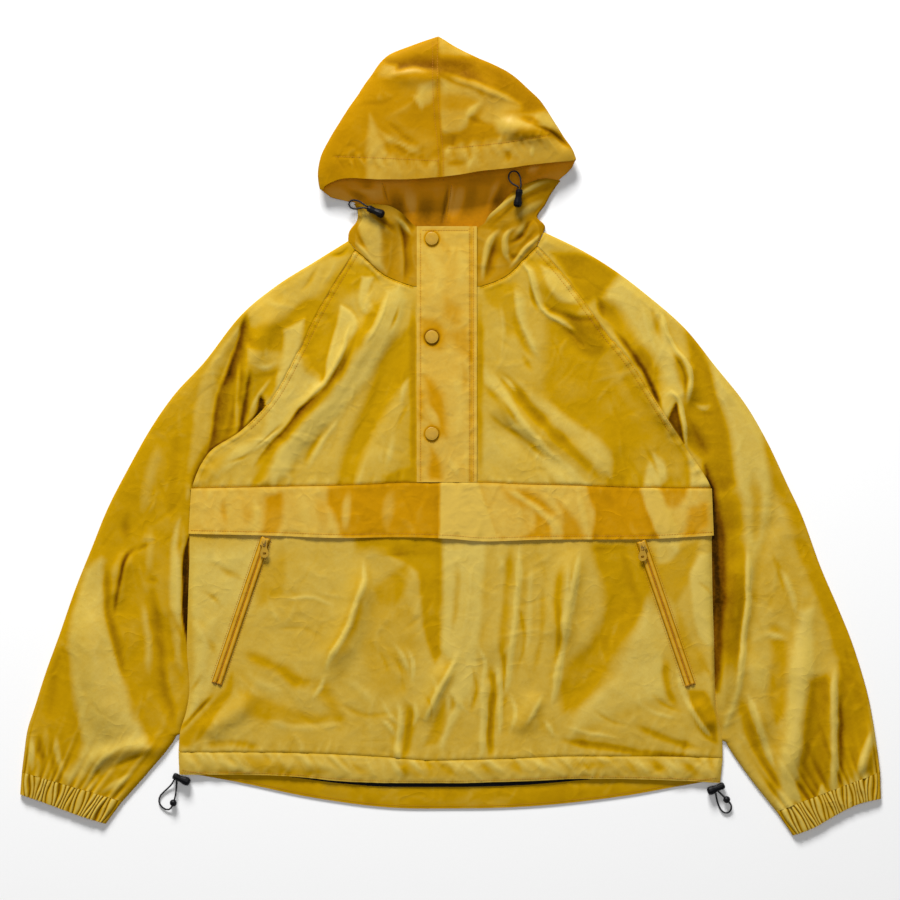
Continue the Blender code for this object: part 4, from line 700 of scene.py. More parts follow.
    "hood_right": """
0 .4 .55 4.8: -16 482 6 470 23 458 -1 451 -16 454
0 -.6 -.4 7.2: 13 456 59 442 95 415 116 396 104 386 61 403 23 425
0 -.8 -.75 8.4: -18 456 13 454 32 434 40 418 6 430 -18 439
0 .8 .45 3.6: -13 430 8 422 30 413 40 401 25 382 16 367 -6 362 -13 391
0 -.2 .15 4.8: -13 410 18 408 30 401 11 391 -13 391
0 .2 .45 6: 40 410 83 394 59 384 52 374 28 374 35 396
0 .7 .75 6: 52 377 61 385 85 385 116 389 133 365 107 370 80 368 66 360 54 365
0 .3 .4 6: -11 346 35 355 71 358 138 358 152 334 83 322 23 312 -11 307
4.1 1 .4 .6 -.3: -16 437 6 428 35 416 64 403 88 396
4.8 -1 -.36: 71 384 95 379 116 367
3.1 -2 -.81 .7: 95 373 114 368 131 358 150 341
2.9 1.2 1: 16 372 23 389 37 403
3.6 -.8 -.09: 13 386 28 379 47 370
2.9 .9 .85: -8 336 -1 346 8 348
3.6 -.9 -.09: -13 334 6 329 23 334
2.6 .9 .9: 18 319 23 331 30 338
2.6 .9 .9: 90 350 97 346 95 334
2.6 -.7 0: 59 346 68 336 66 326
0 -.3 -.05 4.8: 35 252 59 254 76 211 59 187 35 182
3.6 1.8 1 .5: 61 254 47 240 40 211 35 185
5.3 -2 -.81 .8 -.4: 58 247 46 218 38 185
3.1 2 1 .5: 83 254 67 245 65 226 72 206
2.6 -2 -.85 .8: 64 233 80 238 95 259 102 269
3.6 -1.2 -.36: 68 226 76 216 83 226
2.9 2 1 .5: 114 250 97 233 80 216 66 199
2.4 -1 -.45: 107 254 92 238 78 221
3.6 .8 .4: 73 242 85 250 92 262
2.4 .8 .9: 126 312 95 300 66 283 44 266 32 253
2.4 -.5 -.41: 131 305 100 293 73 277 52 260 40 250
3.6 .5 .6: 121 290 95 276 73 259
""",
    "placket": """
0 -.1 .15 6: -35 146 -13 139 -6 118 -16 106 -32 113
0 -.15 .05 7.2: -32 74 -18 65 -6 41 -6 2 -18 7 -28 41
0 -.1 .1 4.8: -25 -10 -16 -22 -11 -48 -23 -50
0 0 .2 6: -40 62 -32 58 -32 22 -40 22
0 0 .25 7.2: -6 125 18 130 25 94 11 103
0 0 .3 7.2: -6 166 13 151 11 134 -8 144
6 .4 1: 6 233 13 202 6 170
6 .4 .95: -28 226 -13 190 -20 158
4.8 -.3 .4: -18 247 -8 228 1 211
6 .4 .95: -1 82 13 46 6 -2
3.6 -.3 .35: 11 94 18 70 13 46
4.8 .4 1: -32 46 -20 22 -13 2
3.6 .4 1: -6 -17 1 -34 13 -48
""",
    "hood_inside": """
0 0 .35 4.8: -151 298 -85 305 -76 288 -109 282 -145 282
7.2 0 -.75: -71 305 -64 281 -59 257
6 .8 .75 .6 -.2: -54 305 -48 281 -42 257
8.4 0 -.6: -25 307 -28 281 -32 254
1.9 .9 .75: 1 312 -1 286 -7 254
1.8 -.6 -1: -4 312 -6 286 -12 254
6 .9 .8 .6 -.2: 14 312 8 286 -1 254
7.2 0 -.5: 32 314 25 290 18 259
3.6 .6 .6: 59 322 52 298 40 266
6 0 -.85: 73 319 59 293 47 262
1.8 0 -.7: -83 308 -79 295 -76 281
4.8 0 -.8: -138 305 -126 298 -109 290 -90 283
2.9 .5 .7: -143 290 -128 286 -112 282 -92 278
6 0 -.8: -119 307 -102 305 -83 300
3.6 .4 .55: -109 298 -95 294 -83 288
8.4 0 -.6: -66 305 -25 308 23 312 71 318 119 326 150 331
3.6 .5 .6: 88 314 97 322 112 326
""",
    "hem_back": """
0 0 .1 7.2: -265 -413 -181 -422 -109 -437 -181 -434
0 0 .1 7.2: 131 -415 227 -410 299 -413 227 -425
0 0 .2 7.2: -37 -434 83 -434 59 -444 -25 -444
""",
}
# Tone of each panel's open cloth: above 0 it is painted sheen, below 0 painted shade
BASE_TONE = {
    "chest_left": 0.5, "chest_right": 0.42, "pocket_flap": 0.78, "front_lower": 0.5,
    "hem_front": 0.6, "sleeve_left": 0.06, "sleeve_right": 0.5, "hood_left": -0.02,
    "hood_right": -0.16, "placket": 0.75, "hem_back": 0,
}


# Curves and fields


def distances(line):
    """Distance covered along a line, up to each of its points."""
    return np.concatenate([[0.0], np.cumsum(np.linalg.norm(np.diff(line, axis=0), axis=1))])


def places_on(line, wanted):
    """Places on a line at the wanted distances along it."""
    lengths = distances(line)
    return np.stack([np.interp(wanted, lengths, values) for values in line.T], axis=-1)


def smooth(rows, count, limited=True):
    """Points, evenly spaced, on a smooth curve through the rows of a table."""
    knots = np.array(rows, float)
    along = distances(knots)
    return smooth_at(along, knots, np.linspace(0.0, along[-1], count), limited)


def round_curve(rows, count):
    """Points, evenly spaced, on a round curve through the rows of a route."""
    fine = smooth(rows, 12 * count, limited=False)
    return places_on(fine, np.linspace(0.0, distances(fine)[-1], count))


def smooth_at(places, values, wanted, limited=True):
    """Values at the wanted places, on a smooth curve through known places.

    A limited curve never overshoots its places, as suits an outline.
    """
    places = np.asarray(places, float)
    values = np.asarray(values, float)
    if values.ndim == 1:
        return smooth_at(places, values[:, None], wanted, limited)[:, 0]
    gaps = np.diff(places)[:, None]
    slopes = np.diff(values, axis=0) / gaps
    tangents = np.vstack([slopes[:1], (slopes[1:] + slopes[:-1]) / 2, slopes[-1:]])
    if limited:
        tangents[1:-1][slopes[1:] * slopes[:-1] <= 0] = 0
    index = np.clip(np.searchsorted(places, wanted, side="right") - 1, 0, len(gaps) - 1)
    width = gaps[index]
    part = ((np.asarray(wanted, float) - places[index])[:, None]) / width
    start, end = values[index], values[index + 1]
    leave, arrive = tangents[index] * width, tangents[index + 1] * width
    return (
        (2 * part**3 - 3 * part**2 + 1) * start
        + (part**3 - 2 * part**2 + part) * leave
        + (3 * part**2 - 2 * part**3) * end
        + (part**3 - part**2) * arrive
    )


def step_up(low, high, value):
    """0 below low, 1 above high and smooth between."""
    part = np.clip((value - low) / (high - low), 0.0, 1.0)
    return part * part * (3 - 2 * part)


def fold_height(x, y, folds):
    """How far a set of folds lifts or sinks the cloth at each point."""
    total = np.zeros_like(x, dtype=float)
    for fold in folds:
        run_x, run_y = fold.to_x - fold.from_x, fold.to_y - fold.from_y
        length = np.hypot(run_x, run_y)
        part = ((x - fold.from_x) * run_x + (y - fold.from_y) * run_y) / length**2
        aside = ((x - fold.from_x) * run_y - (y - fold.from_y) * run_x) / length
        aside = aside - fold.bow * 4 * part * (1 - part)
        ends = step_up(-0.05, 0.3, part) * step_up(-0.05, 0.3, 1 - part)
        total += fold.height * ends * np.exp(-((aside / fold.half_width) ** 2))
    return total


def smooth_zone(x, y):
    """1 on open cloth, 0 under the placket and along the zips, where the cloth lies smooth."""
    beside = np.maximum(PLACKET_LEFT - FLAT_MARGIN - x, x - PLACKET_RIGHT - FLAT_MARGIN)
    below = PLACKET_BOTTOM - PLACKET_BELOW
    free = np.where(y > below, step_up(0.0, PLACKET_FADE, beside), 1.0)
    for top, bottom in ZIP_LINES.values():
        run = np.array([bottom.x - top.x, bottom.y - top.y])
        part = ((x - top.x) * run[0] + (y - top.y) * run[1]) / (run @ run)
        part = np.clip(part, 0.0, 1.0)
        away = np.hypot(x - top.x - part * run[0], y - top.y - part * run[1])
        free = free * step_up(ZIP_SMOOTH, ZIP_FREE, away)
    return free


def front_height(x, y):
    """Height of the middle of the front cloth, large folds included."""
    folds = fold_height(x, y, FRONT_FOLDS) * smooth_zone(x, y)
    return np.maximum(FRONT_LAYER + folds, LOWEST_TROUGH)


def rolled(height, edge_height, distance, reach=ROLL):
    """Rounds the cloth down to edge_height at a folded side, a quarter of an ellipse wide."""
    part = np.clip(distance / reach, 0.0, 1.0)
    return edge_height + (height - edge_height) * np.sqrt(1 - (1 - part) ** 2)


def nearest_on(x, y, line):
    """For each point: how far along a line its nearest place is (0 to 1), and how far aside."""
    nearest = np.full(x.shape, np.inf)
    aside, along = np.zeros(x.shape), np.zeros(x.shape)
    runs = np.diff(line, axis=0)
    lengths = np.linalg.norm(runs, axis=1)
    done = 0.0
    for start, run, length in zip(line, runs, lengths):
        off_x, off_y = x - start[0], y - start[1]
        part = np.clip((off_x * run[0] + off_y * run[1]) / length**2, 0.0, 1.0)
        away_x, away_y = off_x - part * run[0], off_y - part * run[1]
        away = away_x**2 + away_y**2
        closer = away < nearest
        nearest = np.where(closer, away, nearest)
        side = np.sign(away_x * run[1] - away_y * run[0])
        aside = np.where(closer, side * np.sqrt(away), aside)
        along = np.where(closer, done + part * length, along)
        done += length
    return along / done, aside


def close_to(x, y, line, reach):
    """Which points lie in the box round a line, widened by reach."""
    low, high = line.min(axis=0) - reach, line.max(axis=0) + reach
    return (x > low[0]) & (x < high[0]) & (y > low[1]) & (y < high[1])


def folds_on(panel):
    """The folds and tone areas of a panel, read from its table."""
    found = []
    for row in FOLDS.get(panel, "").strip().replace("\n ", " ").splitlines():
        head, line = ([float(part) for part in half.split()] for half in row.split(":"))
        head += (USUAL_EDGE, 0.0)[len(head) - 3 :]
        found.append(Fold(*head, np.array(line).reshape(-1, 2)))
    return found


def inside(x, y, outline):
    """Which points lie inside a closed outline."""
    odd = np.zeros(x.shape, bool)
    for (from_x, from_y), (to_x, to_y) in zip(outline[:-1], outline[1:]):
        crosses = (from_y > y) != (to_y > y)
        rise = to_y - from_y if to_y != from_y else 1.0
        odd ^= crosses & (x < from_x + (to_x - from_x) * (y - from_y) / rise)
    return odd


def lay_area(x, y, line, edge):
    """Swell and cover of a tone area inside a closed line, faded over its edge."""
    depth = np.abs(nearest_on(x, y, line)[1]) * np.where(inside(x, y, line), 1, -1)
    wide = AREA_FADE * edge
    return step_up(-wide, wide, depth), step_up(-edge, edge, depth)


def lay_fold(x, y, line, fold):
    """Swell and cover of a fold along a line, thinner and lower towards its ends."""
    along, aside = nearest_on(x, y, line)
    length = distances(line)[-1]
    fade = np.clip(FOLD_FADE / length, 0.22, 0.5)
    ends = step_up(0.0, fade, along) * step_up(0.0, fade, 1 - along)
    ends = ends * (0.86 + 0.2 * uneven(along * length, aside * 0.1 + line[0, 0], 17.0, 12))
    width = fold.half_width * (1 + fold.lean * np.sign(aside)) * (0.5 + 0.5 * ends)
    away = np.abs(aside) / np.maximum(width, LEAST_WIDTH)
    swell = np.exp(-1.5 * (np.sqrt(away**2 + 0.3) - 0.55)) * step_up(0, 1, FOLD_REACH - away)
    return ends * swell, ends * (1 - step_up(1 - fold.edge, 1 + 1.3 * fold.edge, away))


def lay_folds(x, y, folds, tone):
    """Height and tone of cloth on which folds and tone areas are laid, one after the other; the
    tones are painted shade and sheen.
    """
    rise, tone = np.zeros(x.shape), np.full(x.shape, float(tone))
    for fold in folds:
        if fold.half_width == 0:
            line = smooth([*fold.line, fold.line[0]], OUTLINE_POINTS)
            reach = AREA_REACH * fold.edge
        else:
            line = smooth(fold.line, CREASE_POINTS)
            reach = FOLD_REACH * max(fold.half_width * (1 + abs(fold.lean)), LEAST_WIDTH)
        near = close_to(x, y, line, reach)
        if not near.any():
            continue
        if fold.half_width == 0:
            swell, cover = lay_area(x[near], y[near], line, fold.edge)
        else:
            swell, cover = lay_fold(x[near], y[near], line, fold)
        rise[near] += fold.height * swell
        if fold.tone is not None:
            tone[near] += (fold.tone - tone[near]) * cover
    return rise, tone


def small_creases(x, y, count, seed):
    """Short sharp wrinkles scattered over a panel, the same on each run."""
    random = np.random.default_rng(seed)
    made = []
    for _ in range(count):
        middle = random.uniform((x.min(), y.min()), (x.max(), y.max()))
        heading = random.normal(pi / 2, 0.75)
        reach = random.uniform(10, 40)
        bend = random.uniform(-0.25, 0.25) * reach
        ahead = np.array([cos(heading), sin(heading)])
        aside = np.array([-ahead[1], ahead[0]])
        route = np.array([middle - ahead * reach, middle + aside * bend, middle + ahead * reach])
        height = random.uniform(0.2, 0.5) * random.choice([1, 1, -0.8])
        width, lean = random.uniform(2.0, 3.8), random.uniform(-0.6, 0.6)
        made.append(Fold(width, height, None, USUAL_EDGE, lean, route))
    return made


def gathers(line, side, spacing, reach, slant, height, seed):
    """Short ridges and troughs that leave a sewn line on one of its sides."""
    random = np.random.default_rng(seed)
    made = []
    place, length = spacing * 0.5, distances(line)[-1]
    while place < length:
        start, then = places_on(line, [place, place + 1])
        ahead = (then - start) / max(np.linalg.norm(then - start), 1e-6)
        out = np.array([ahead[1], -ahead[0]]) * side
        long = reach * random.uniform(0.5, 1.4)
        course = (out + ahead * slant * random.uniform(0.6, 1.4)) * long
        bend = ahead * long * random.uniform(-0.18, 0.18)
        route = np.array([start - course * 0.4, start + course * 0.4 + bend, start + course])
        lift = height * random.uniform(0.5, 1.3) * random.choice([1, 1, -0.9])
        lean = random.uniform(-0.4, 0.4)
        made.append(Fold(spacing * random.uniform(0.2, 0.34), lift, None, USUAL_EDGE, lean, route))
        place += spacing * random.uniform(0.6, 1.4)
    return made


def uneven(x, y, size, seed):
    """Gentle unevenness between -1 and 1, in lumps of about that size, the same on each run."""
    table = np.random.default_rng(seed).uniform(-1, 1, (64, 64))
    column, row = np.floor(x / size).astype(int), np.floor(y / size).astype(int)
    right, up = step_up(0, 1, x / size - column), step_up(0, 1, y / size - row)
    rows = [
        table[line % 64, column % 64] * (1 - right) + table[line % 64, (column + 1) % 64] * right
        for line in (row, row + 1)
    ]
    return rows[0] * (1 - up) + rows[1] * up


def blurred(values, cells):
    """Mean of the grid round each point, that many cells to each side."""
    for axis, edges in enumerate((((cells, cells), (0, 0)), ((0, 0), (cells, cells)))):
        padded = np.pad(values, edges, mode="edge")
        starts, count = range(2 * cells + 1), values.shape[axis]
        parts = [np.take(padded, range(start, start + count), axis) for start in starts]
        values = sum(parts) / len(parts)
    return values


def beside(line, distance):
    """A line moved aside in plan, to its right for a positive distance."""
    run = np.gradient(line, axis=0)
    run /= np.linalg.norm(run, axis=1)[:, None]
    return line + np.stack([run[:, 1], -run[:, 0]], axis=1) * distance


def seam_height(x, y, seams):
    """Relief of sewn seams, and the painted shade they lay on the cloth in their grooves and along
    their rows.

    A seam has a groove, an allowance under the cloth beside it, and stitched, puckered rows.
    """
    total, shade = np.zeros(x.shape), np.zeros(x.shape)
    for seam in seams:
        near = close_to(x, y, seam.line, SEAM_REACH)
        if not near.any():
            continue
        along, aside = nearest_on(x[near], y[near], seam.line)
        place = along * distances(seam.line)[-1]
        to_side = aside * seam.side
        groove = np.exp(-((aside / GROOVE_WIDTH) ** 2))
        total[near] -= seam.groove * groove
        shade[near] += 0.7 * seam.shade * min(seam.groove * 2, 1) * groove
        if seam.allowance:
            end = step_up(-0.6, 2.4, to_side - seam.allowance)
            total[near] += ALLOWANCE_LIFT * step_up(0.2, 2.0, to_side) * (1 - end)
        for row in seam.rows:
            away = to_side - row
            wave = uneven(place, aside * 0.2, PUCKER_LENGTH, 11)
            wave *= seam.pucker * np.exp(-((away / PUCKER_REACH) ** 2))
            total[near] += PUCKER_LIFT * wave - ROW_DEPTH * np.exp(-((away / ROW_WIDTH) ** 2))
            shade[near] += 0.35 * seam.shade * np.exp(-((away / 1.2) ** 2))
    return total, shade


# Grids of cloth


def coons(bottom, top, left, right):
    """Grid of plan points filling four edges; rows run from bottom to top."""
    rows, columns = len(left), len(bottom)
    v = np.linspace(0, 1, rows)[:, None, None]
    u = np.linspace(0, 1, columns)[None, :, None]
    corners = (
        (1 - u) * (1 - v) * bottom[0]
        + u * (1 - v) * bottom[-1]
        + (1 - u) * v * top[0]
        + u * v * top[-1]
    )
    across = (1 - v) * bottom[None] + v * top[None]
    up = (1 - u) * left[:, None] + u * right[:, None]
    return across + up - corners


def grid_normals(points):
    """Unit normals of a grid of points, the mean of the cells round each one."""
    low, right = points[:-1, :-1], points[:-1, 1:]
    up, far = points[1:, :-1], points[1:, 1:]
    facing = np.cross(far - low, up - right)
    size = np.linalg.norm(facing, axis=2, keepdims=True)
    facing = np.nan_to_num(facing / np.where(size > 0, size, 1))
    normals = np.zeros_like(points)
    normals[:-1, :-1] += facing
    normals[:-1, 1:] += facing
    normals[1:, :-1] += facing
    normals[1:, 1:] += facing
    length = np.linalg.norm(normals, axis=2, keepdims=True)
    return normals / np.where(length > 0, length, 1)


def moved_out(points, distance):
    """Grid moved along its normals."""
    return points + grid_normals(points) * np.asarray(distance)[..., None]


def lay_flat(plan, height):
    """Grid of points at one height, or at a height for each point."""
    heights = np.broadcast_to(height, plan.shape[:2])
    return np.concatenate([plan, heights[..., None]], axis=2)


def inset(points, shift_x, shift_y=0.0):
    """Plan points, all moved by the same distance."""
    return points + np.array([shift_x, shift_y])


def run_along(points, axis):
    """Distance covered along the rows or the columns of a grid."""
    steps = np.linalg.norm(np.nan_to_num(np.diff(points, axis=axis)), axis=2)
    start = np.zeros_like(np.take(steps, [0], axis=axis))
    return np.concatenate([start, np.cumsum(steps, axis=axis)], axis=axis)


def new_piece(name, vertices, faces, looks):
    """Mesh piece with its materials, from points in millimetres."""
    mesh = bpy.data.meshes.new(name)
    mesh.from_pydata(vertices * MM, [], faces)
    for material in looks:
        mesh.materials.append(material)
    piece = bpy.data.objects.new(name, mesh)
    bpy.context.scene.collection.objects.link(piece)
    return piece


def add_map(piece, places):
    """Gives each corner of a piece's faces its place on the cloth, in metres."""
    layer = piece.data.uv_layers.new(name="Cloth")
    layer.data.foreach_set("uv", np.asarray(places, np.float32).reshape(-1))


def cloth_shell(
    name, points, look, tone, nodes, slot="coated_cotton", thickness=None, back_tone=None
):
    """Thin closed shell of cloth round a grid of middle points, as one piece of the garment."""
    looks = [LOOKS["lining"]] if look == "lining" else [LOOKS[look], LOOKS["inside"]]
    thickness = thickness or bpy.context.scene.anorak.cloth_thickness / MM
    half = grid_normals(points) * thickness / 2
    there = ~np.isnan(points[..., 0])
    count = int(there.sum())
    number = np.where(there, np.cumsum(there).reshape(there.shape) - 1, -1)
    corners = np.stack([number[:-1, :-1], number[:-1, 1:], number[1:, 1:], number[1:, :-1]], axis=2)
    whole = corners[(corners >= 0).all(axis=2)]
    sides = np.concatenate([whole[:, [side, (side + 1) % 4]] for side in range(4)])
    start, end = sides.T
    rim = sides[~np.isin(start * (count + 1) + end, end * (count + 1) + start)]
    rim_faces = np.stack([rim[:, 1], rim[:, 0], rim[:, 0] + count, rim[:, 1] + count], axis=1)
    faces = np.concatenate([whole, whole[:, ::-1] + count, rim_faces])
    vertices = np.concatenate([(points + half)[there], (points - half)[there]])
    piece = new_piece(name, vertices, faces, looks)
    mesh = piece.data
    slots = np.zeros(len(faces), np.int32)
    slots[len(whole) : 2 * len(whole)] = len(looks) - 1
    mesh.polygons.foreach_set("material_index", slots)
    across, up = run_along(points, 1)[there] * MM, run_along(points, 0)[there] * MM
    add_map(piece, np.tile(np.stack([across, up], axis=1), (2, 1))[faces.reshape(-1)])
    both = (tone, tone if back_tone is None else back_tone)
    tones = [np.broadcast_to(values, there.shape)[there] for values in both]
    pale = mesh.attributes.new("tone", "FLOAT", "POINT")
    pale.data.foreach_set("value", np.concatenate(tones).astype(np.float32))
    mesh.update()
    mesh.shade_smooth()
    mesh.set_sharp_from_angle(angle=1.0)
    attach(piece, "garment")
    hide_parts(*nodes)


def creased(points, panel, seams=(), free=1.0, flutter=1.0, gathered=(), rise=0.0):
    """A panel's grid with its folds, seams and slight unevenness pushed out, and its tones, with
    painted shade and sheen.
    """
    x, y = np.nan_to_num(points[..., 0]), np.nan_to_num(points[..., 1])
    there = ~np.isnan(points[..., 0])
    scattered = int(SMALL_CREASES * np.ptp(x[there]) * np.ptp(y[there]))
    folds = [*folds_on(panel), *small_creases(x[there], y[there], scattered, len(panel)), *gathered]
    wander_x = 1.8 * uneven(x, y, 47, 3) + 0.8 * uneven(x, y, 15, 4)
    wander_y = 1.8 * uneven(x, y, 47, 5) + 0.8 * uneven(x, y, 15, 6)
    laid, tone = lay_folds(x + wander_x, y + wander_y, folds, BASE_TONE[panel])
    laid += flutter * (0.45 * uneven(x * 1.5, y, 34, 21) + 0.14 * uneven(x, y, 13, 22))
    rise = rise + laid * free
    # Painted highlight on crests and painted shade in troughs.
    crest = rise - blurred(rise, CREST_CELLS)
    tone += np.clip(PAINTED_CREST_LIGHT * crest, -0.6, 0.35)
    sewn, shade = seam_height(x, y, seams)
    rise = rise + sewn * np.minimum(free * 4, 1)
    # Painted shade along the seams' grooves and stitched rows.
    tone -= shade
    tone += 0.10 * uneven(x * 1.8, y, 60, 7) + 0.08 * uneven(x, y, 19, 8)
    room = np.maximum(points[..., 2] - LOWEST_TROUGH, 0.0)
    return moved_out(points, np.maximum(rise, -room)), np.clip(tone, LOWEST_TONE, HIGHEST_TONE)


# Seams shared by panels


def sleeve_edges(side, upper_rows=SLEEVE_UPPER, lower_rows=SLEEVE_LOWER):
    """Outer and inner edge of a sleeve, row by row from the neck to the cuff seam."""
    sections = np.array(SLEEVE_SECTIONS[side])
    underarm, cuff = RAGLAN_SECTIONS - 1, len(sections) - 1
    upper = np.linspace(0, underarm, upper_rows)
    lower = np.linspace(underarm, cuff, lower_rows + 1)[1:]
    values = smooth_at(np.arange(cuff + 1), sections, np.concatenate([upper, lower]))
    return values[:, :2], values[:, 2:]


def raglan_seam(side, rows):
    """The raglan seam from the underarm up to the neck, shared by sleeve, chest and back."""
    return sleeve_edges(side, rows, 1)[1][:rows][::-1]


def part_of(rows, from_x, to_x, count):
    """Evenly spaced points of a seam between two places along X."""
    knots = np.array(rows, float)
    xs = np.linspace(from_x, to_x, count)
    return np.stack([xs, smooth_at(knots[:, 0], knots[:, 1], xs)], axis=1)


def garment_seams():
    """Every sewn line, by name, with its allowance and its rows of stitches."""
    seams = {
        "chest": Seam(part_of(CHEST_SEAM, -314, 315, 60), 1, 0.0, (), 0.7, 0.45, 0.6),
        "flap_edge": Seam(part_of(FLAP_EDGE, -314, 314, 60), -1, 0.0, (4.2,), 0.0, 0.5, 0.8),
        "hem": Seam(smooth(HEM_SEAM, 60), -1, 0.0, (), 0.6, 0.3, 0.45),
        "hem_edge": Seam(smooth(HEM_EDGE, 60), -1, 0.0, (2.4,), 0.0, 0.3, 0.4),
        "back_hem": Seam(smooth(BACK_HEM_SEAM, 60), -1, 0.0, (), 0.4, 0.1, 0.5),
        "back_hem_edge": Seam(smooth(BACK_HEM_EDGE, 60), -1, 0.0, (3.0,), 0.0, 0.15, 0.5),
        "hood_centre": Seam(smooth(HOOD_CENTRE, 30), 1, 0.0, (-2.8, 2.8), 0.25, 0.25, 0.3),
        "brim_left": Seam(smooth(BRIM_STITCH["left"], 24), 1, 0.0, (0.0,), 0.2, 0.6, 0.2),
        "brim_right": Seam(smooth(BRIM_STITCH["right"], 24), 1, 0.0, (0.0,), 0.2, 0.8, 0.3),
    }
    for side, inward in INWARD.items():
        raglan, neck = raglan_seam(side, 40), smooth(NECK_FRONT[side], 24)
        zip_line = np.linspace(*ZIP_LINES[side], 12)
        seams[f"raglan_{side}"] = Seam(raglan, inward, 7.5, (1.6, 6.6), 0.5, 0.5, 0.4)
        seams[f"neck_{side}"] = Seam(neck, inward, 6.0, (1.6,), 0.7, 0.3, 0.7)
        seams[f"zip_{side}"] = Seam(zip_line, 1, 0.0, (-8.0, 8.0), 0.0, 0.3, 0.3)
    for name, corners in PLACKET_ROWS.items():
        groove, rows = (0.7, (-2.2, 2.2)) if name == "placket_welt" else (0.0, (0.0,))
        seams[name] = Seam(np.array(corners, float), 1, 0.0, rows, groove, 0.2, 0.8)
    return seams


def even_strip(edge, seam, parts):
    """Rows of points from an edge up to a seam."""
    return np.stack([edge + (seam - edge) * part for part in parts])


def rolled_panel(plan, lift=0.0):
    """Front cloth that rolls down at both sides, and how far each point lies from them."""
    x = plan[..., 0]
    to_side = np.minimum(x - x[:, :1], x[:, -1:] - x)
    height = front_height(x, plan[..., 1]) + lift
    return lay_flat(plan, rolled(height, EDGE_LAYER, to_side)), to_side


# Panels


def back_points():
    """Back panel on the floor, from the hem's seam to the neck."""
    sides = []
    for side, inward in INWARD.items():
        lower = smooth(BODY_SIDE[side][:-1], 40)
        lower[-1] = BACK_HEM_SEAM[0 if side == "left" else -1]
        whole = np.concatenate([lower[::-1][:-1], raglan_seam(side, 34)])
        sides.append(inset(whole, SEAM * inward))
    bottom = smooth(BACK_HEM_SEAM, BACK_COLUMNS)
    top = inset(smooth(NECK_BACK, BACK_COLUMNS), 0, -SEAM)
    bottom[[0, -1]] = [side[0] for side in sides]
    top[[0, -1]] = [side[-1] for side in sides]
    plan = coons(bottom, top, *sides)
    wrinkles = 0.12 + 0.12 * uneven(plan[..., 0], plan[..., 1], 28, 31)
    return lay_flat(plan, FLOOR_LAYER + wrinkles)


def chest_points(side):
    """One front panel above the flap: open cloth up to the placket, smooth cloth under it."""
    inward = INWARD[side]
    placket_side = PLACKET_LEFT - FLAT_MARGIN if side == "left" else PLACKET_RIGHT + FLAT_MARGIN
    seam = inset(raglan_seam(side, CHEST_ROWS), SEAM * inward * 0.4)
    bottom = part_of(CHEST_SEAM, seam[0, 0], placket_side, CHEST_COLUMNS)
    neck = inset(smooth(NECK_FRONT[side], CHEST_COLUMNS), 0, -SEAM)
    bottom[0], neck[0] = seam[0], seam[-1]
    climb = np.linspace(bottom[-1, 1], neck[-1, 1], CHEST_ROWS)
    inner = np.stack([np.full(CHEST_ROWS, placket_side), climb], axis=1)
    under = np.linspace(placket_side, SLIT_X - SEAM * inward, 17)[1:]
    covered = np.stack(np.meshgrid(under, climb), axis=2)
    plan = np.concatenate([coons(bottom, neck, seam, inner), covered], axis=1)[:, ::inward]
    return lay_flat(plan, front_height(plan[..., 0], plan[..., 1]))


def lower_front_points():
    """Middle points of the lower front; its upper rows are those that the pocket flap covers."""
    top = inset(part_of(CHEST_SEAM, -311, 312, BODY_COLUMNS), 0, -2 * SEAM)
    flap = part_of(FLAP_EDGE, -314, 314, BODY_COLUMNS)
    seam = inset(smooth(HEM_SEAM, BODY_COLUMNS), 0, SEAM)
    upper = even_strip(flap, top, np.linspace(0, 1, FLAP_ROWS))
    left, right = (smooth(BODY_SIDE[side][1:-1], BODY_ROWS) for side in INWARD)
    left[[0, -1]], right[[0, -1]] = (flap[0], seam[0]), (flap[-1], seam[-1])
    lower = coons(seam, flap, left[::-1], right[::-1])
    return rolled_panel(np.concatenate([lower[:-1], upper]))


def flap_points():
    """Pocket flap: the cloth under it moved out, with its lower edge standing off in puckers."""
    base, to_side = (part[-FLAP_ROWS:] for part in lower_front_points())
    pucker = np.abs(np.sin(np.linspace(0, 5.3 * pi, base.shape[1])))
    drop = np.linspace(1.0, 0.25, FLAP_ROWS)[:, None]
    return moved_out(base, CLOTH + SEAM + 0.15 + drop * pucker[None]), to_side


def hem_points():
    """Front hem channel, a little proud of the front along its middle."""
    parts = np.linspace(0, 1, HEM_ROWS)
    seam = inset(smooth(HEM_SEAM, BODY_COLUMNS), 0, -SEAM)
    channel = smooth_at([0, 0.1, 0.5, 0.9, 1], [-0.4, 0.1, 0.9, 0.1, -0.1], parts)[:, None]
    return rolled_panel(even_strip(smooth(HEM_EDGE, BODY_COLUMNS), seam, parts), channel)


def back_hem_points():
    """Back hem channel, the drop tail's edge on the floor."""
    parts = np.linspace(0, 1, HEM_ROWS)
    seam = inset(smooth(BACK_HEM_SEAM, BODY_COLUMNS), 0, -SEAM * 1.4)
    plan = even_strip(smooth(BACK_HEM_EDGE, BODY_COLUMNS), seam, parts)
    return lay_flat(plan, FLOOR_LAYER + 0.5 * np.sin(parts * pi)[:, None])


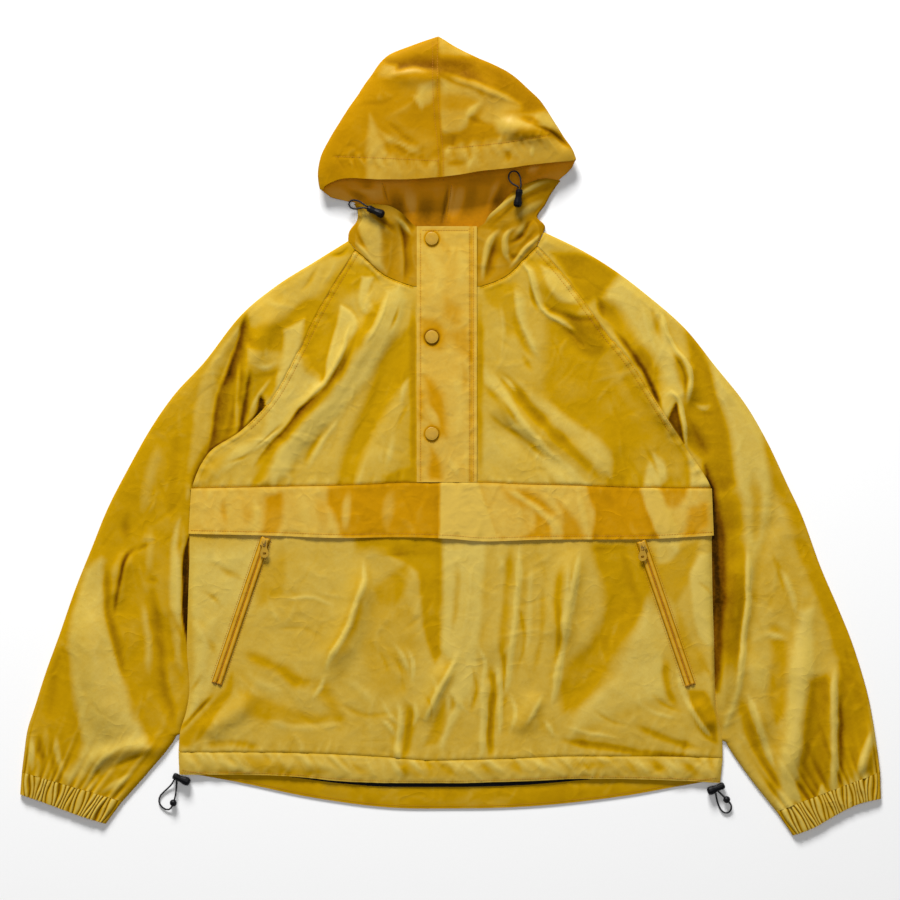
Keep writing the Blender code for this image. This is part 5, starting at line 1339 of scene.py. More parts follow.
def sleeve_points(side):
    """A sleeve as one wrapped sheet: floor, outer fold, front, and the turn at the underarm."""
    outer, inner = sleeve_edges(side)
    rows = [np.linspace(0, 11, SLEEVE_UPPER), np.linspace(11, 23, SLEEVE_LOWER + 1)[1:]]
    rows = np.concatenate(rows)[:, None]
    on_raglan, closed = rows[:, 0] <= 11, step_up(10, 14, rows)
    away = -INWARD[side]
    inner = inset(inner, SEAM * away * 0.4)
    body = np.array(BODY_SIDE[side])[::-1]
    beside_x = smooth_at(body[:, 1], body[:, 0], np.clip(inner[:, 1], body[0, 1], body[-1, 1]))
    gap = beside_x - inner[:, 0]
    beside_body = ~on_raglan & (np.abs(gap) < 4)
    inner[beside_body, 0] += gap[beside_body] + 0.25 * away
    width = np.linalg.norm(outer - inner, axis=1)[:, None]
    aside = (outer - inner) / width
    reach = np.minimum(ROLL, width * 0.45)
    outer, inner, aside = outer[:, None], inner[:, None], aside[:, None]

    floor_parts = np.linspace(0, 1, SLEEVE_FLOOR)[None, :, None]
    floor = lay_flat(inner + aside * (width[:, None] - FOLD_TURN) * floor_parts, FLOOR_LAYER)
    angles = np.radians(np.arange(-72, 73, 18))
    tip = outer - aside * (FOLD_TURN * (1 - np.cos(angles)))[None, :, None]
    tip = lay_flat(tip, FLOOR_LAYER + FOLD_TURN * (1 + np.sin(angles)))
    across = np.linspace(0, 1, SLEEVE_COLUMNS)[None] ** 1.15
    to_outer = FOLD_TURN + (width - FOLD_TURN) * across
    front = outer - aside * to_outer[..., None]
    height = front_height(front[..., 0], front[..., 1])
    height = rolled(height, FLOOR_LAYER + 2 * FOLD_TURN, to_outer - FOLD_TURN, reach)
    height += (rolled(height, EDGE_LAYER, width - to_outer, reach) - height) * closed
    front = lay_flat(front, height)
    tucked = front[on_raglan, -1]
    tucked[:, :2] -= TUCK * aside[on_raglan, 0]
    tucked[:, 2] = np.maximum(tucked[:, 2] - TUCK, EDGE_LAYER)
    front[on_raglan, -1] = tucked
    angles = np.radians([50, 0, -50, -90])
    under = inner - aside * (0.2 * np.cos(angles))[None, :, None]
    middle, half = (EDGE_LAYER + FLOOR_LAYER) / 2, (EDGE_LAYER - FLOOR_LAYER) / 2
    under = lay_flat(under, middle + half * np.sin(angles))
    under[on_raglan] = np.nan
    points = np.concatenate([floor, tip, front, under], axis=1)

    free, rise = np.zeros((2, *points.shape[:2]))
    first = floor.shape[1] + tip.shape[1]
    on_front = slice(first, first + SLEEVE_COLUMNS)
    from_edge = np.minimum(to_outer - FOLD_TURN, (width - to_outer) + 30 * (1 - closed))
    free[:, on_front] = step_up(0.0, 9.0, from_edge)
    to_cuff = np.linalg.norm(outer - outer[-1:], axis=2)
    place = np.arange(1, SLEEVE_COLUMNS + 1) / SLEEVE_COLUMNS
    waves = np.sin(place * 26 * pi + 2.2 * np.sin(place * 19)) * (0.6 + 0.4 * np.sin(place * 37))
    spread = 22 * (1 + 0.7 * np.sin(place * 51))
    rise[:, on_front] = 1.3 * waves * np.exp(-to_cuff / spread)
    return tuple(part[::away] for part in (points, free, rise))


def cuff_points(side):
    """Gathered cuff: uneven pleats on its front, flat cloth on the floor."""
    outer, inner = sleeve_edges(side)
    away, pleats = -INWARD[side], CUFF_PLEATS[side]
    places = np.linspace(0, 1, 9)
    edge = smooth(CUFF_EDGES[side], 9)
    across = inner[-1] - outer[-1]
    gap = np.array([-across[1], across[0]]) * away / np.linalg.norm(across) * SEAM * 0.5
    seam = np.linspace(outer[-1], inset(inner[-1], SEAM * away * 0.8), 9) + gap
    depth = np.random.default_rng(pleats).uniform(0.65, 1.25, pleats + 2)
    angles = np.radians([-60, -20, 20, 60])
    grid, tones = [], []
    for part in np.linspace(0, 1, CUFF_ROWS):
        line = seam + (edge - seam) * part
        span = np.linalg.norm(line[-1] - line[0])
        turn = FOLD_TURN / span
        front = np.linspace(turn, 1, pleats * 8)
        near = np.minimum(front, 1 - front) * span
        wander = 0.36 * np.sin(front * 23 + 2.4 * part) + 0.15 * np.sin(front * 57 - 3 * part)
        phase = front * pleats + wander
        puff = np.abs(np.sin(phase * pi)) ** 0.9
        share = 0.55 + 0.45 * np.sin(part * pi) ** 0.5
        level = depth[np.clip(np.floor(phase), 0, pleats + 1).astype(int)]
        open_part = step_up(0, 6, near)
        height = rolled(CUFF_LAYER, EDGE_LAYER, near, 10.0)
        height = height + PLEAT_HEIGHT * share * (puff * level - 0.3) * open_part
        # Painted highlight on the pleats' crests and painted shade in their valleys.
        tone = 0.9 * step_up(0.6, 1.0, puff) * level - 0.9 * step_up(0.75, 0.05, puff)
        run = np.concatenate([np.linspace(1, turn, 24), turn * (1 - np.cos(angles)), front])
        heights = [np.full(24, FLOOR_LAYER), FLOOR_LAYER + FOLD_TURN * (1 + np.sin(angles)),
                   np.maximum(height, EDGE_LAYER)]
        grid.append(np.column_stack([smooth_at(places, line, run), np.concatenate(heights)]))
        tones.append(np.concatenate([np.full(28, 0.2), open_part * tone]))
    return np.array(grid)[::away], np.array(tones)[::away]


def quarter_round(start, end, rise_last, parts):
    """Points from start to end on a squarish quarter round, upright at its end or at its start."""
    far = np.sin(parts * pi / 2) ** HOOD_SQUARENESS
    near = 1 - np.cos(parts * pi / 2) ** HOOD_SQUARENESS
    plan, rise = (far, near) if rise_last else (near, far)
    return start + (end - start) * np.stack([plan, plan, rise], axis=1)


def rib_path(rib):
    """Rib of the hood: over the floor to the crown, round it, and forward to the brim."""
    base, crown, brim = (np.array(rib[place : place + 3]) for place in (0, 3, 6))
    back = quarter_round(base, crown, True, np.linspace(0, 1, HOOD_BACK_ROWS) ** 1.2)
    front = quarter_round(crown, brim, False, np.linspace(0, 1, HOOD_FRONT_ROWS) ** 1.25)
    return np.concatenate([back, front[1:]])


def hood_points(side):
    """Middle points of half a hood; cells are missing where the front of the neck has no ribs."""
    ribs = np.array(HOOD_RIBS[side])
    inward, shares = INWARD[side], 4 * HOOD_FINENESS
    stops = (0, *SIDE_RIBS[side], len(ribs) - 1)
    places = [np.linspace(*pair, shares + 1)[:-1] for pair in zip(stops, stops[1:])]
    places = np.concatenate([*places, stops[-1:]])
    beside_neck = slice(shares, 2 * shares + 1)
    shell = np.array([rib_path(rib) for rib in smooth_at(np.arange(len(ribs)), ribs, places)])
    shell = shell.transpose(1, 0, 2)
    lift = fold_height(shell[..., 0], shell[..., 1], HOOD_FOLDS)
    lift[:HOOD_BACK_ROWS] = 0
    shell[..., 2] += lift * step_up(12.0, 19.0, shell[..., 2])

    fold = shell[0, beside_neck]
    turn = []
    for angle in np.radians((90, 67, 45, 22, 0, -22, -45)):
        row = fold + SIDE_TURN * np.array([-inward * cos(angle), 0, 1 + sin(angle)])
        row[0, 1] -= SHOULDER_DIP[side] * max(sin(angle), 0) ** 1.5
        turn.append(row)
    top = turn.pop(0)
    rows = HOOD_SIDE_ROWS
    seam = inset(smooth(NECK_FRONT[side], rows - 2), 0.3 * inward, SEAM)
    seam = np.vstack([seam, (SLIT_X - SEAM * inward, seam[-1, 1])])
    heights = front_height(seam[:, 0], seam[:, 1])
    neck = np.vstack([top[:1], np.column_stack([seam, heights])])
    rim = smooth(np.vstack([top[-1:], HOOD_RIM[side]]), rows)
    opening = neck[-1] + (rim[-1] - neck[-1]) * np.linspace(0, 1, shares + 1)[:, None]
    front = np.full((rows + len(turn), shell.shape[1], 3), np.nan)
    front[:rows, beside_neck] = coons(top, opening, neck, rim)[::-1]
    front[rows:, beside_neck] = turn
    points = np.concatenate([front, shell])
    waist = NECK_WAIST[side]
    corner = NECK_FRONT[side][0].y
    drawn_in = waist.share * np.exp(-(((points[..., 1] - waist.y) / waist.half_width) ** 2))
    drawn_in *= step_up(corner + 17, corner + 34, points[..., 1])
    points[..., 0] *= 1 - drawn_in * (1 - step_up(8.0, 16.0, points[..., 2]))
    points[:, 0, 0] += SEAM * inward
    free, on_back = np.zeros((2, *points.shape[:2]))
    crown = len(front) + HOOD_BACK_ROWS
    free[: rows - 2] = free[crown - 6 :] = 1
    on_back[len(front) + 4 : crown - 8] = 1
    return tuple(part[:, ::inward] for part in (points, free, on_back))


def placket_points():
    """Flap over the front opening, with the welt that holds it as its folded right edge."""
    xs = np.linspace(PLACKET_LEFT, PLACKET_RIGHT, 58)
    ys = np.linspace(PLACKET_BOTTOM, PLACKET_TOP, 150)
    plan = np.stack(np.meshgrid(xs, ys), axis=2)
    lie = FRONT_LAYER + CLOTH + SEAM + 0.1
    bulge = smooth_at([PLACKET_LEFT, PLACKET_LEFT + 5, -18, 5, PLACKET_RIGHT - 6, PLACKET_RIGHT],
                      [0.0, 0.5, 0.8, 0.7, 0.3, 0.0], xs)
    wave = 0.5 + 0.5 * np.sin(ys / 23.0)
    return lay_flat(plan, lie + bulge[None] * (0.5 + wave[:, None]))


def zip_course(side):
    """Top and bottom of a zip, and the directions along it and across it."""
    top, bottom = (np.array(end) for end in ZIP_LINES[side])
    run = (bottom - top) / np.linalg.norm(bottom - top)
    return top, bottom, run, np.array([-run[1], run[0]])


def zip_points(side):
    """Zip strip with its two folded lips, and its tones: painted shade between the lips and beside
    them.
    """
    top, bottom, run, aside = zip_course(side)
    across = np.linspace(-ZIP_HALF, ZIP_HALF, 37)
    lip = np.clip(1 - ((np.abs(across) - ZIP_LIP) / 2.3) ** 2, 0, 1) ** 0.6
    rows = []
    for part in np.linspace(0, 1, ZIP_ROWS):
        wave = 0.14 * uneven(part * 180 + across * 0, across * 0.3, 9, 61)
        middle = top + (bottom - top) * part
        plan = middle + aside * across[:, None] + run * wave[:, None]
        rows.append(np.column_stack([plan, ZIP_LAYER + 0.85 * lip + wave * lip]))
    return np.array(rows)[::-1], np.broadcast_to(1.2 * lip - 0.75, (ZIP_ROWS, len(across)))


def zip_tooth():
    """Model of one zip tooth: a small bar with a rounded head."""
    deselect_all()
    bpy.ops.mesh.primitive_cube_add(size=1, location=(0, 0, 0))
    tooth = bpy.context.active_object
    tooth.scale = (1.3 * MM, 0.85 * MM, 0.6 * MM)
    settle(tooth)
    bpy.ops.object.mode_set(mode="EDIT")
    bpy.ops.mesh.select_all(action="SELECT")
    bpy.ops.mesh.bevel(offset=0.22 * MM, segments=1, affect="EDGES")
    bpy.ops.object.mode_set(mode="OBJECT")
    return tooth


def zip_teeth(name, tooth, side):
    """Both rows of a zip's teeth, alternating along the slit between the lips."""
    top, bottom, run, aside = zip_course(side)
    model = np.array([vertex.co for vertex in tooth.data.vertices]) / MM
    shapes = [tuple(face.vertices) for face in tooth.data.polygons]
    vertices, faces = [], []
    places = np.arange(14, np.linalg.norm(bottom - top) - 4, TOOTH_PITCH / 2)
    for number, place in enumerate(places):
        middle = top + run * place + aside * (0.35 if number % 2 else -0.35)
        plan = middle + model[:, :1] * aside + model[:, 1:2] * run
        faces += [tuple(corner + len(vertices) for corner in shape) for shape in shapes]
        vertices += np.column_stack([plan, model[:, 2] + 6.3]).tolist()
    piece = new_piece(name, np.array(vertices), faces, [LOOKS["thread"]])
    select_only(piece)
    bpy.ops.object.mode_set(mode="EDIT")
    bpy.ops.mesh.select_all(action="SELECT")
    bpy.ops.mesh.normals_make_consistent(inside=False)
    bpy.ops.object.mode_set(mode="OBJECT")
    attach(piece, "garment")


def snap_cap(name, foot):
    """Domed snap: a rolled rim, a ring groove and a shallow crown, pressed onto the placket."""
    deselect_all()
    bpy.ops.mesh.primitive_cylinder_add(
        vertices=40, radius=7.9 * MM, depth=0.9 * MM,
        location=tuple(np.add(foot, (0, 0, 0.45)) * MM),
    )
    snap = bpy.context.active_object
    snap.name = name
    settle(snap)
    bpy.ops.object.mode_set(mode="EDIT")
    bpy.ops.mesh.select_mode(type="FACE")
    bpy.ops.mesh.select_all(action="DESELECT")
    shape = bmesh.from_edit_mesh(snap.data)
    for face in shape.faces:
        face.select = face.normal.z > 0.9
    bmesh.update_edit_mesh(snap.data)
    for thickness, depth in SNAP_STEPS:
        bpy.ops.mesh.inset(thickness=thickness * MM, depth=depth * MM)
    bpy.ops.object.mode_set(mode="OBJECT")
    snap.data.materials.append(LOOKS["trim"])
    bpy.ops.object.shade_smooth_by_angle(angle=radians(50))
    return snap


# Materials


def feed(tree, made, inputs):
    """Links sockets to a node's inputs, and sets the other values on them."""
    for key, value in inputs.items():
        if isinstance(value, bpy.types.NodeSocket):
            tree.links.new(value, made.inputs[key])
        else:
            made.inputs[key].default_value = value
    return made.outputs


def node(tree, kind, inputs=None, **settings):
    """Outputs of a new shader node."""
    made = tree.nodes.new(f"ShaderNode{kind}")
    for key, value in settings.items():
        setattr(made, key, value)
    return feed(tree, made, inputs or {})


def maths(tree, kind, *values, clamp=False):
    """Result of a math node of that operation on the values."""
    return node(tree, "Math", dict(enumerate(values)), operation=kind, use_clamp=clamp)[0]


def shaded(colour, share):
    """A colour made darker or paler by a share."""
    return (*(min(part * share, 1.0) for part in colour[:3]), 1.0)


def new_group(name, place, numbers, results):
    """Node group that works on a place and numbers, with its inputs and its last node."""
    tree = bpy.data.node_groups.new(name, "ShaderNodeTree")
    tree.interface.new_socket(place, in_out="INPUT", socket_type="NodeSocketVector")
    for label, value in numbers.items():
        socket = tree.interface.new_socket(label, in_out="INPUT", socket_type="NodeSocketFloat")
        socket.default_value = value
    for label in results:
        tree.interface.new_socket(label, in_out="OUTPUT", socket_type="NodeSocketFloat")
    given, put = tree.nodes.new("NodeGroupInput"), tree.nodes.new("NodeGroupOutput")
    return tree, given.outputs, put, partial(maths, tree)


def mixed(tree, mask, *tones, places=None):
    """Colour along a run of tones, evenly spaced or at their places, as the mask says."""
    ramp = tree.nodes.new("ShaderNodeValToRGB")
    tree.links.new(mask, ramp.inputs["Fac"])
    stops = ramp.color_ramp.elements
    while len(stops) < len(tones):
        stops.new(0.5)
    for place, (stop, tone) in enumerate(zip(stops, tones)):
        stop.position = places[place] if places else place / (len(tones) - 1)
        stop.color = tuple(tone)
    return ramp.outputs["Color"]


def weave_group():
    """Plain weave: threads that pass over and under each other, as a height."""
    tree, given, put, do = new_group("Plain weave", "Cloth", {"Thread": 0.0006}, ["Height"])
    split = node(tree, "SeparateXYZ", {0: given["Cloth"]})
    turns = do("DIVIDE", pi, given["Thread"])
    waves = [do("SINE", do("MULTIPLY", split[axis], turns)) for axis in (0, 1)]
    feed(tree, put, {"Height": do("MULTIPLY", *waves)})
    return tree


def crumple_group():
    """Papery crumples and facets of a coated cloth, as a height."""
    tree, given, put, do = new_group("Papery crumple", "Place", {"Size": 0.026}, ["Height"])
    often = do("DIVIDE", 1.0, given["Size"])

    def pattern(kind, place, times, **settings):
        scale = often if times == 1 else do("MULTIPLY", often, times)
        return node(tree, kind, {"Vector": place, "Scale": scale, **settings})

    large = pattern("TexNoise", given["Place"], 1, Detail=1.0, Roughness=0.4, Distortion=0.5)
    fine = pattern("TexNoise", given["Place"], 4.5, Detail=2.0, Roughness=0.5, Distortion=1.0)
    patches = pattern("TexNoise", given["Place"], 0.35, Detail=1.0)
    share = do("MULTIPLY_ADD", patches["Fac"], 4.0, -1.7, clamp=True)
    ridge = do("POWER", do("ABSOLUTE", do("SUBTRACT", large["Fac"], 0.5)), 0.6)
    crumples = do("MULTIPLY", do("MULTIPLY", ridge, -1.1), share)
    total = do("ADD", crumples, do("MULTIPLY", fine["Fac"], 0.08))
    bend = {0: large["Color"], 1: (0.02, 0.03, 0.02), 2: given["Place"]}
    bend = node(tree, "VectorMath", bend, operation="MULTIPLY_ADD")[0]
    facets = pattern("TexVoronoi", bend, 1)["Distance"]
    small = pattern("TexVoronoi", bend, 2.3)["Distance"]
    both = do("ADD", facets, do("MULTIPLY", small, 0.4))
    feed(tree, put, {"Height": do("ADD", total, do("MULTIPLY", both, 0.6))})
    return tree


def tone_with_painted_light_group():
    """Tone, mottled: -1.5 painted shade in a gap, -1 painted shade of a fold, 0 full, 1 painted
    sheen.
    """
    tree, given, put, do = new_group(
        "Tone with painted shade and sheen", "Place", {"Tone": 0.5, "Mottle": 0.5}, ["Mask", "Sheen"]
    )
    place, tone = given["Place"], given["Tone"]
    cloudy = {"Vector": place, "Scale": 45.0, "Detail": 5.0, "Roughness": 0.65, "Distortion": 0.8}
    fine = {"Vector": place, "Scale": 260.0, "Detail": 3.0, "Roughness": 0.7}
    both = do("ADD", *(node(tree, "TexNoise", inputs)["Fac"] for inputs in (cloudy, fine)))
    shift = do("MULTIPLY", do("SUBTRACT", both, 1.0), given["Mottle"])
    share = do("ADD", 0.35, do("MULTIPLY", do("ABSOLUTE", tone), 0.65))
    total = do("ADD", tone, do("MULTIPLY", shift, share))
    mask = do("MULTIPLY_ADD", total, 0.4, 0.6, clamp=True)
    feed(tree, put, {"Mask": mask, "Sheen": do("MULTIPLY_ADD", total, 1.25, -0.2, clamp=True)})
    return tree


def new_look(name):
    material = bpy.data.materials.new(name)
    material.use_nodes = True
    tree = material.node_tree
    return material, tree, tree.nodes["Principled BSDF"]


def bumpy(tree, height, strength, distance, **under):
    """Normals that a height bends."""
    inputs = {"Height": height, "Strength": strength, "Distance": distance, **under}
    return node(tree, "Bump", inputs)["Normal"]


def cloth_look(name, dark, deep, pale, roughness, crumple, groups, coat=0.32):
    """Coated cotton: its tones with painted shade and sheen, a satin coating, papery crumples and a
    fine weave.
    """
    material, tree, shader = new_look(name)
    place = node(tree, "TexCoord")["Object"]
    cloth = node(tree, "UVMap", uv_map="Cloth")["UV"]
    tone = node(tree, "Attribute", attribute_name="tone")["Fac"]
    coating = node(tree, "Group", {"Place": place, "Tone": tone}, node_tree=groups["coating"])
    # Painted shade in deep gaps, painted shade of folds, the full coating, painted sheen.
    tones = (shaded(dark, 0.2), dark, deep, pale)
    mix = mixed(tree, coating["Mask"], *tones, places=(0.0, 0.2, 0.6, 1.0))
    shader.inputs["Roughness"].default_value = roughness
    shader.inputs["Specular IOR Level"].default_value = 0.01
    if coat:
        feed(tree, shader, {"Coat Weight": maths(tree, "MULTIPLY", coating["Sheen"], coat)})
        shader.inputs["Coat Roughness"].default_value = 0.42
    wrinkle = node(tree, "Group", {"Place": place}, node_tree=groups["crumple"])
    weave = node(tree, "Group", {"Cloth": cloth}, node_tree=groups["weave"])
    crumpled = bumpy(tree, wrinkle["Height"], crumple, 0.0012)
    woven = bumpy(tree, weave["Height"], 0.12, 0.00012, Normal=crumpled)
    feed(tree, shader, {"Base Color": mix, "Normal": woven})
    return material


def plain_look(name, colour, roughness, grain_size, grain, shine=0.25):
    """Plastic, thread or painted metal: one colour with a fine grain and slight shade changes."""
    material, tree, shader = new_look(name)
    place = node(tree, "TexCoord")["Object"]
    noise = {"Vector": place, "Scale": 1 / grain_size, "Detail": 3.0}
    noise = node(tree, "TexNoise", noise)["Fac"]
    shader.inputs["Specular IOR Level"].default_value = shine
    rough = maths(tree, "ADD", roughness - 0.08, maths(tree, "MULTIPLY", noise, 0.16))
    mix = mixed(tree, noise, shaded(colour, 0.8), shaded(colour, 1.2))
    bump = bumpy(tree, noise, grain, 0.0003)
    feed(tree, shader, {"Base Color": mix, "Roughness": rough, "Normal": bump})
    return material


def cord_look(name, colour):
    """Braided cord: crossing strands along the cord's own map."""
    material, tree, shader = new_look(name)
    split = node(tree, "SeparateXYZ", {0: node(tree, "UVMap", uv_map="Cloth")["UV"]})
    strands = []
    for sign in (1, -1):
        slant = maths(tree, "MULTIPLY", split[0], 8 * pi * sign)
        run = maths(tree, "MULTIPLY", split[1], 2 * pi / 0.0022)
        strands.append(maths(tree, "SINE", maths(tree, "ADD", slant, run)))
    shader.inputs["Base Color"].default_value = colour
    shader.inputs["Roughness"].default_value = 0.75
    feed(tree, shader, {"Normal": bumpy(tree, maths(tree, "MAXIMUM", *strands), 0.6, 0.0002)})
    return material


LOOKS = {}


def make_looks(settings):
    groups = {"weave": weave_group(), "crumple": crumple_group(), "coating": tone_with_painted_light_group()}
    dark, inside = settings.dark_colour, settings.inside_colour
    # Inside: painted shade in its folds, its own colour, and painted sheen on its streaks.
    inside_tones = (shaded(inside, 0.3), inside, (0.88, 0.46, 0.07, 1))
    tones = {
        "cloth": (dark, settings.deep_colour, settings.painted_sheen_colour),
        "warm": (dark, settings.warm_colour, settings.warm_painted_sheen_colour),
        # The hood's tones are darker copies of the warm ones: painted shade.
        "hood": (dark, settings.hood_shaded_colour, shaded(settings.warm_painted_sheen_colour, 0.85)),
    }
    for name, label, roughness, crumple in (
        ("cloth", "Coated cotton", 0.46, 0.7),
        ("warm", "Coated cotton flap", 0.44, 0.9),
        ("hood", "Coated cotton hood with painted shade", 0.42, 0.7),
    ):
        LOOKS[name] = cloth_look(label, *tones[name], roughness, crumple, groups)
    LOOKS["inside"] = cloth_look("Coated cotton inside", *inside_tones, 0.6, 0.5, groups, 0)
    plastic, lining = (0.004, 0.004, 0.005, 1), (0.006, 0.006, 0.007, 1)
    LOOKS["thread"] = plain_look("Topstitch thread", settings.thread_colour, 0.7, 0.002, 0.2)
    LOOKS["trim"] = plain_look("Yellow trim", settings.trim_colour, 0.42, 0.004, 0.15)
    LOOKS["plastic"] = plain_look("Black plastic", plastic, 0.45, 0.003, 0.15, 0.14)
    LOOKS["lining"] = plain_look("Black lining", lining, 0.85, 0.006, 0.3, 0.1)
    LOOKS["braid"] = cord_look("Black cord", (0.007, 0.007, 0.008, 1))


# Tubes and stitches


def tube(name, path, radius, look):
    """Round tube of even width along a path, with its own map: once round, and metres along."""
    headings = np.gradient(path, axis=0)
    headings /= np.linalg.norm(headings, axis=1)[:, None]
    normal = np.cross(headings[0], (0.3, 0.2, 1.0))
    turns = np.linspace(0, 2 * pi, TUBE_SIDES, endpoint=False)[:, None]
    rings = []
    for point, forward in zip(path, headings):
        normal = normal - forward * (normal @ forward)
        normal /= np.linalg.norm(normal)
        aside = np.cross(forward, normal)
        rings.append(point + radius * (np.cos(turns) * normal + np.sin(turns) * aside))
    run, last = distances(path), len(path) - 1
    faces, places = [], []
    for row in range(last):
        for side in range(TUBE_SIDES):
            low, then = row * TUBE_SIDES + side, row * TUBE_SIDES + (side + 1) % TUBE_SIDES
            faces.append((low, then, then + TUBE_SIDES, low + TUBE_SIDES))
            start, end = side / TUBE_SIDES, (side + 1) / TUBE_SIDES
            here, ahead = run[row], run[row + 1]
            places += [(start, here), (end, here), (end, ahead), (start, ahead)]
    for row, step in ((0, -1), (last, 1)):
        centre = (last + 1) * TUBE_SIDES + (row > 0)
        for side in range(TUBE_SIDES):
            pair = (row * TUBE_SIDES + side, row * TUBE_SIDES + (side + 1) % TUBE_SIDES)
            faces.append((*pair[::step], centre))
            places += [(0, run[row])] * 3
    piece = new_piece(name, np.concatenate([*rings, path[[0, -1]]]), faces, [look])
    add_map(piece, np.array(places, np.float32) * np.array([1, MM], np.float32))
    piece.data.shade_smooth()
    return piece


def trees_of(pieces):
    graph = bpy.context.evaluated_depsgraph_get()
    return [BVHTree.FromObject(bpy.data.objects[name], graph) for name in pieces]


def surface_at(trees, x, y):
    """Place and normal, in millimetres, of the highest cloth at a place in plan, or nothing."""
    best = None
    for tree in trees:
        hit, normal = tree.ray_cast(Vector((x * MM, y * MM, 0.1)), Vector((0, 0, -1)))[:2]
        if hit is not None and (best is None or hit.z > best[0].z):
            best = (hit, normal)
    return None if best is None else (np.array(best[0]) / MM, np.array(best[1]))


TUBE_SIDES = 12
STITCH_SIDES = 6
STITCH_THICK = 0.3
# Rings of a stitch: place along its half length, and share of its thickness
STITCH_RINGS = ((-1.0, 0.35), (-0.45, 1.0), (0.45, 1.0), (1.0, 0.35))


def stitch_rows(name, lines, on, pitch):
    """One piece with a thread's stitches laid along lines on the cloth."""
    trees = trees_of(on)
    turns = (np.arange(STITCH_SIDES) * 2 * pi / STITCH_SIDES)[:, None]
    vertices, faces = [], []
    for line in lines:
        for place in np.arange(pitch, distances(line)[-1] - pitch / 2, pitch):
            here, ahead = places_on(line, [place, place + 0.5])
            found = surface_at(trees, *here)
            if found is None:
                continue
            spot, up = found
            forward = np.array([*(ahead - here), 0.0])
            forward -= up * (forward @ up)
            forward /= np.linalg.norm(forward)
            around = STITCH_THICK * (np.cos(turns) * np.cross(up, forward) + np.sin(turns) * up)
            first = len(vertices)
            for along, size in STITCH_RINGS:
                middle = spot + forward * along * pitch * 0.4 + up * (0.05 - 0.12 * abs(along))
                vertices.extend(middle + around * size)
            last = len(vertices) - STITCH_SIDES
            for start in range(first, last, STITCH_SIDES):
                for turn in range(STITCH_SIDES):
                    low, then = start + turn, start + (turn + 1) % STITCH_SIDES
                    faces.append((low, then, then + STITCH_SIDES, low + STITCH_SIDES))
            faces.append(tuple(reversed(range(first, first + STITCH_SIDES))))
            faces.append(tuple(range(last, last + STITCH_SIDES)))
    piece = new_piece(name, np.array(vertices), faces, [LOOKS["thread"]])
    piece.data.shade_smooth()
    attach(piece, "garment")


def deselect_all():
    bpy.ops.object.select_all(action="DESELECT")


def select_only(piece):
    deselect_all()
    piece.select_set(True)
    bpy.context.view_layer.objects.active = piece


def settle(piece):
    """Puts a finished piece's place into its mesh."""
    select_only(piece)
    bpy.ops.object.transform_apply(location=True, rotation=True, scale=True)


def dress(name, look):
    """Gives a solid that is shown as it is its material."""
    materials = frame["nodes"][name].data.materials
    materials.clear()
    materials.append(LOOKS[look])


def lay_panel(name, grid, seams, free=1.0, flutter=1.0, puckers=(), rise=0.0, look="cloth"):
    """Creases a panel's grid and makes its cloth."""
    grid, tone = creased(grid, name, seams, free, flutter, puckers, rise)
    cloth_shell(f"{name}_cloth", grid, look, tone, [name])


# Operators


class AnorakSettings(bpy.types.PropertyGroup):
    cloth_thickness: FloatProperty(
        name="Cloth thickness", description="Thickness of the coated cotton", default=0.001,
        min=0.0004, max=0.0012, unit="LENGTH", precision=4,
    )
    stitch_pitch: FloatProperty(
        name="Stitch length", description="Distance from one topstitch to the next", default=0.0031,
        min=0.002, max=0.006, unit="LENGTH", precision=4,
    )
    dark_colour: FloatVectorProperty(
        name="Dark tone", description="Coating in the shade of a fold", size=4, subtype="COLOR",
        default=(0.15, 0.055, 0.0005, 1.0), min=0, max=1,
    )
    deep_colour: FloatVectorProperty(
        name="Deep tone", description="Coating where it is full", size=4, subtype="COLOR",
        default=(0.46, 0.252, 0.001, 1.0), min=0, max=1,
    )
    # Pale tone: painted sheen, the coating where it reflects the light.
    painted_sheen_colour: FloatVectorProperty(
        name="Pale tone", description="Painted sheen of the coating", size=4, subtype="COLOR",
        default=(0.565, 0.405, 0.07, 1.0), min=0, max=1,
    )
    warm_colour: FloatVectorProperty(
        name="Warm tone", description="Deep tone of the placket and flap", size=4, subtype="COLOR",
        default=(0.49, 0.23, 0.001, 1.0), min=0, max=1,
    )
    # Warm pale tone: painted sheen of the placket, flap and hood.
    warm_painted_sheen_colour: FloatVectorProperty(
        name="Warm pale tone", description="Painted sheen of the placket, flap and hood", size=4,
        subtype="COLOR",
        default=(0.585, 0.385, 0.05, 1.0), min=0, max=1,
    )
    # Hood tone: darker than the body's, painted shade.
    hood_shaded_colour: FloatVectorProperty(
        name="Hood tone", description="Deep tone of the hood, darkened as painted shade", size=4, subtype="COLOR",
        default=(0.385, 0.187, 0.001, 1.0), min=0, max=1,
    )
    inside_colour: FloatVectorProperty(
        name="Inside", description="Back of the cloth", size=4, subtype="COLOR",
        default=(0.74, 0.3, 0.005, 1.0), min=0, max=1,
    )
    thread_colour: FloatVectorProperty(
        name="Thread", description="Topstitch thread", size=4, subtype="COLOR",
        default=(0.42, 0.165, 0.006, 1.0), min=0, max=1,
    )
    trim_colour: FloatVectorProperty(
        name="Trim", description="Painted snaps, sliders and pull tabs", size=4, subtype="COLOR",
        default=(0.46, 0.255, 0.012, 1.0), min=0, max=1,
    )


class ANORAK_OT_looks(bpy.types.Operator):
    """Make the cloth, thread, trim, plastic and cord materials"""

    bl_idname = "anorak.looks"
    bl_label = "Materials"

    def execute(self, context):
        make_looks(context.scene.anorak)
        return {"FINISHED"}


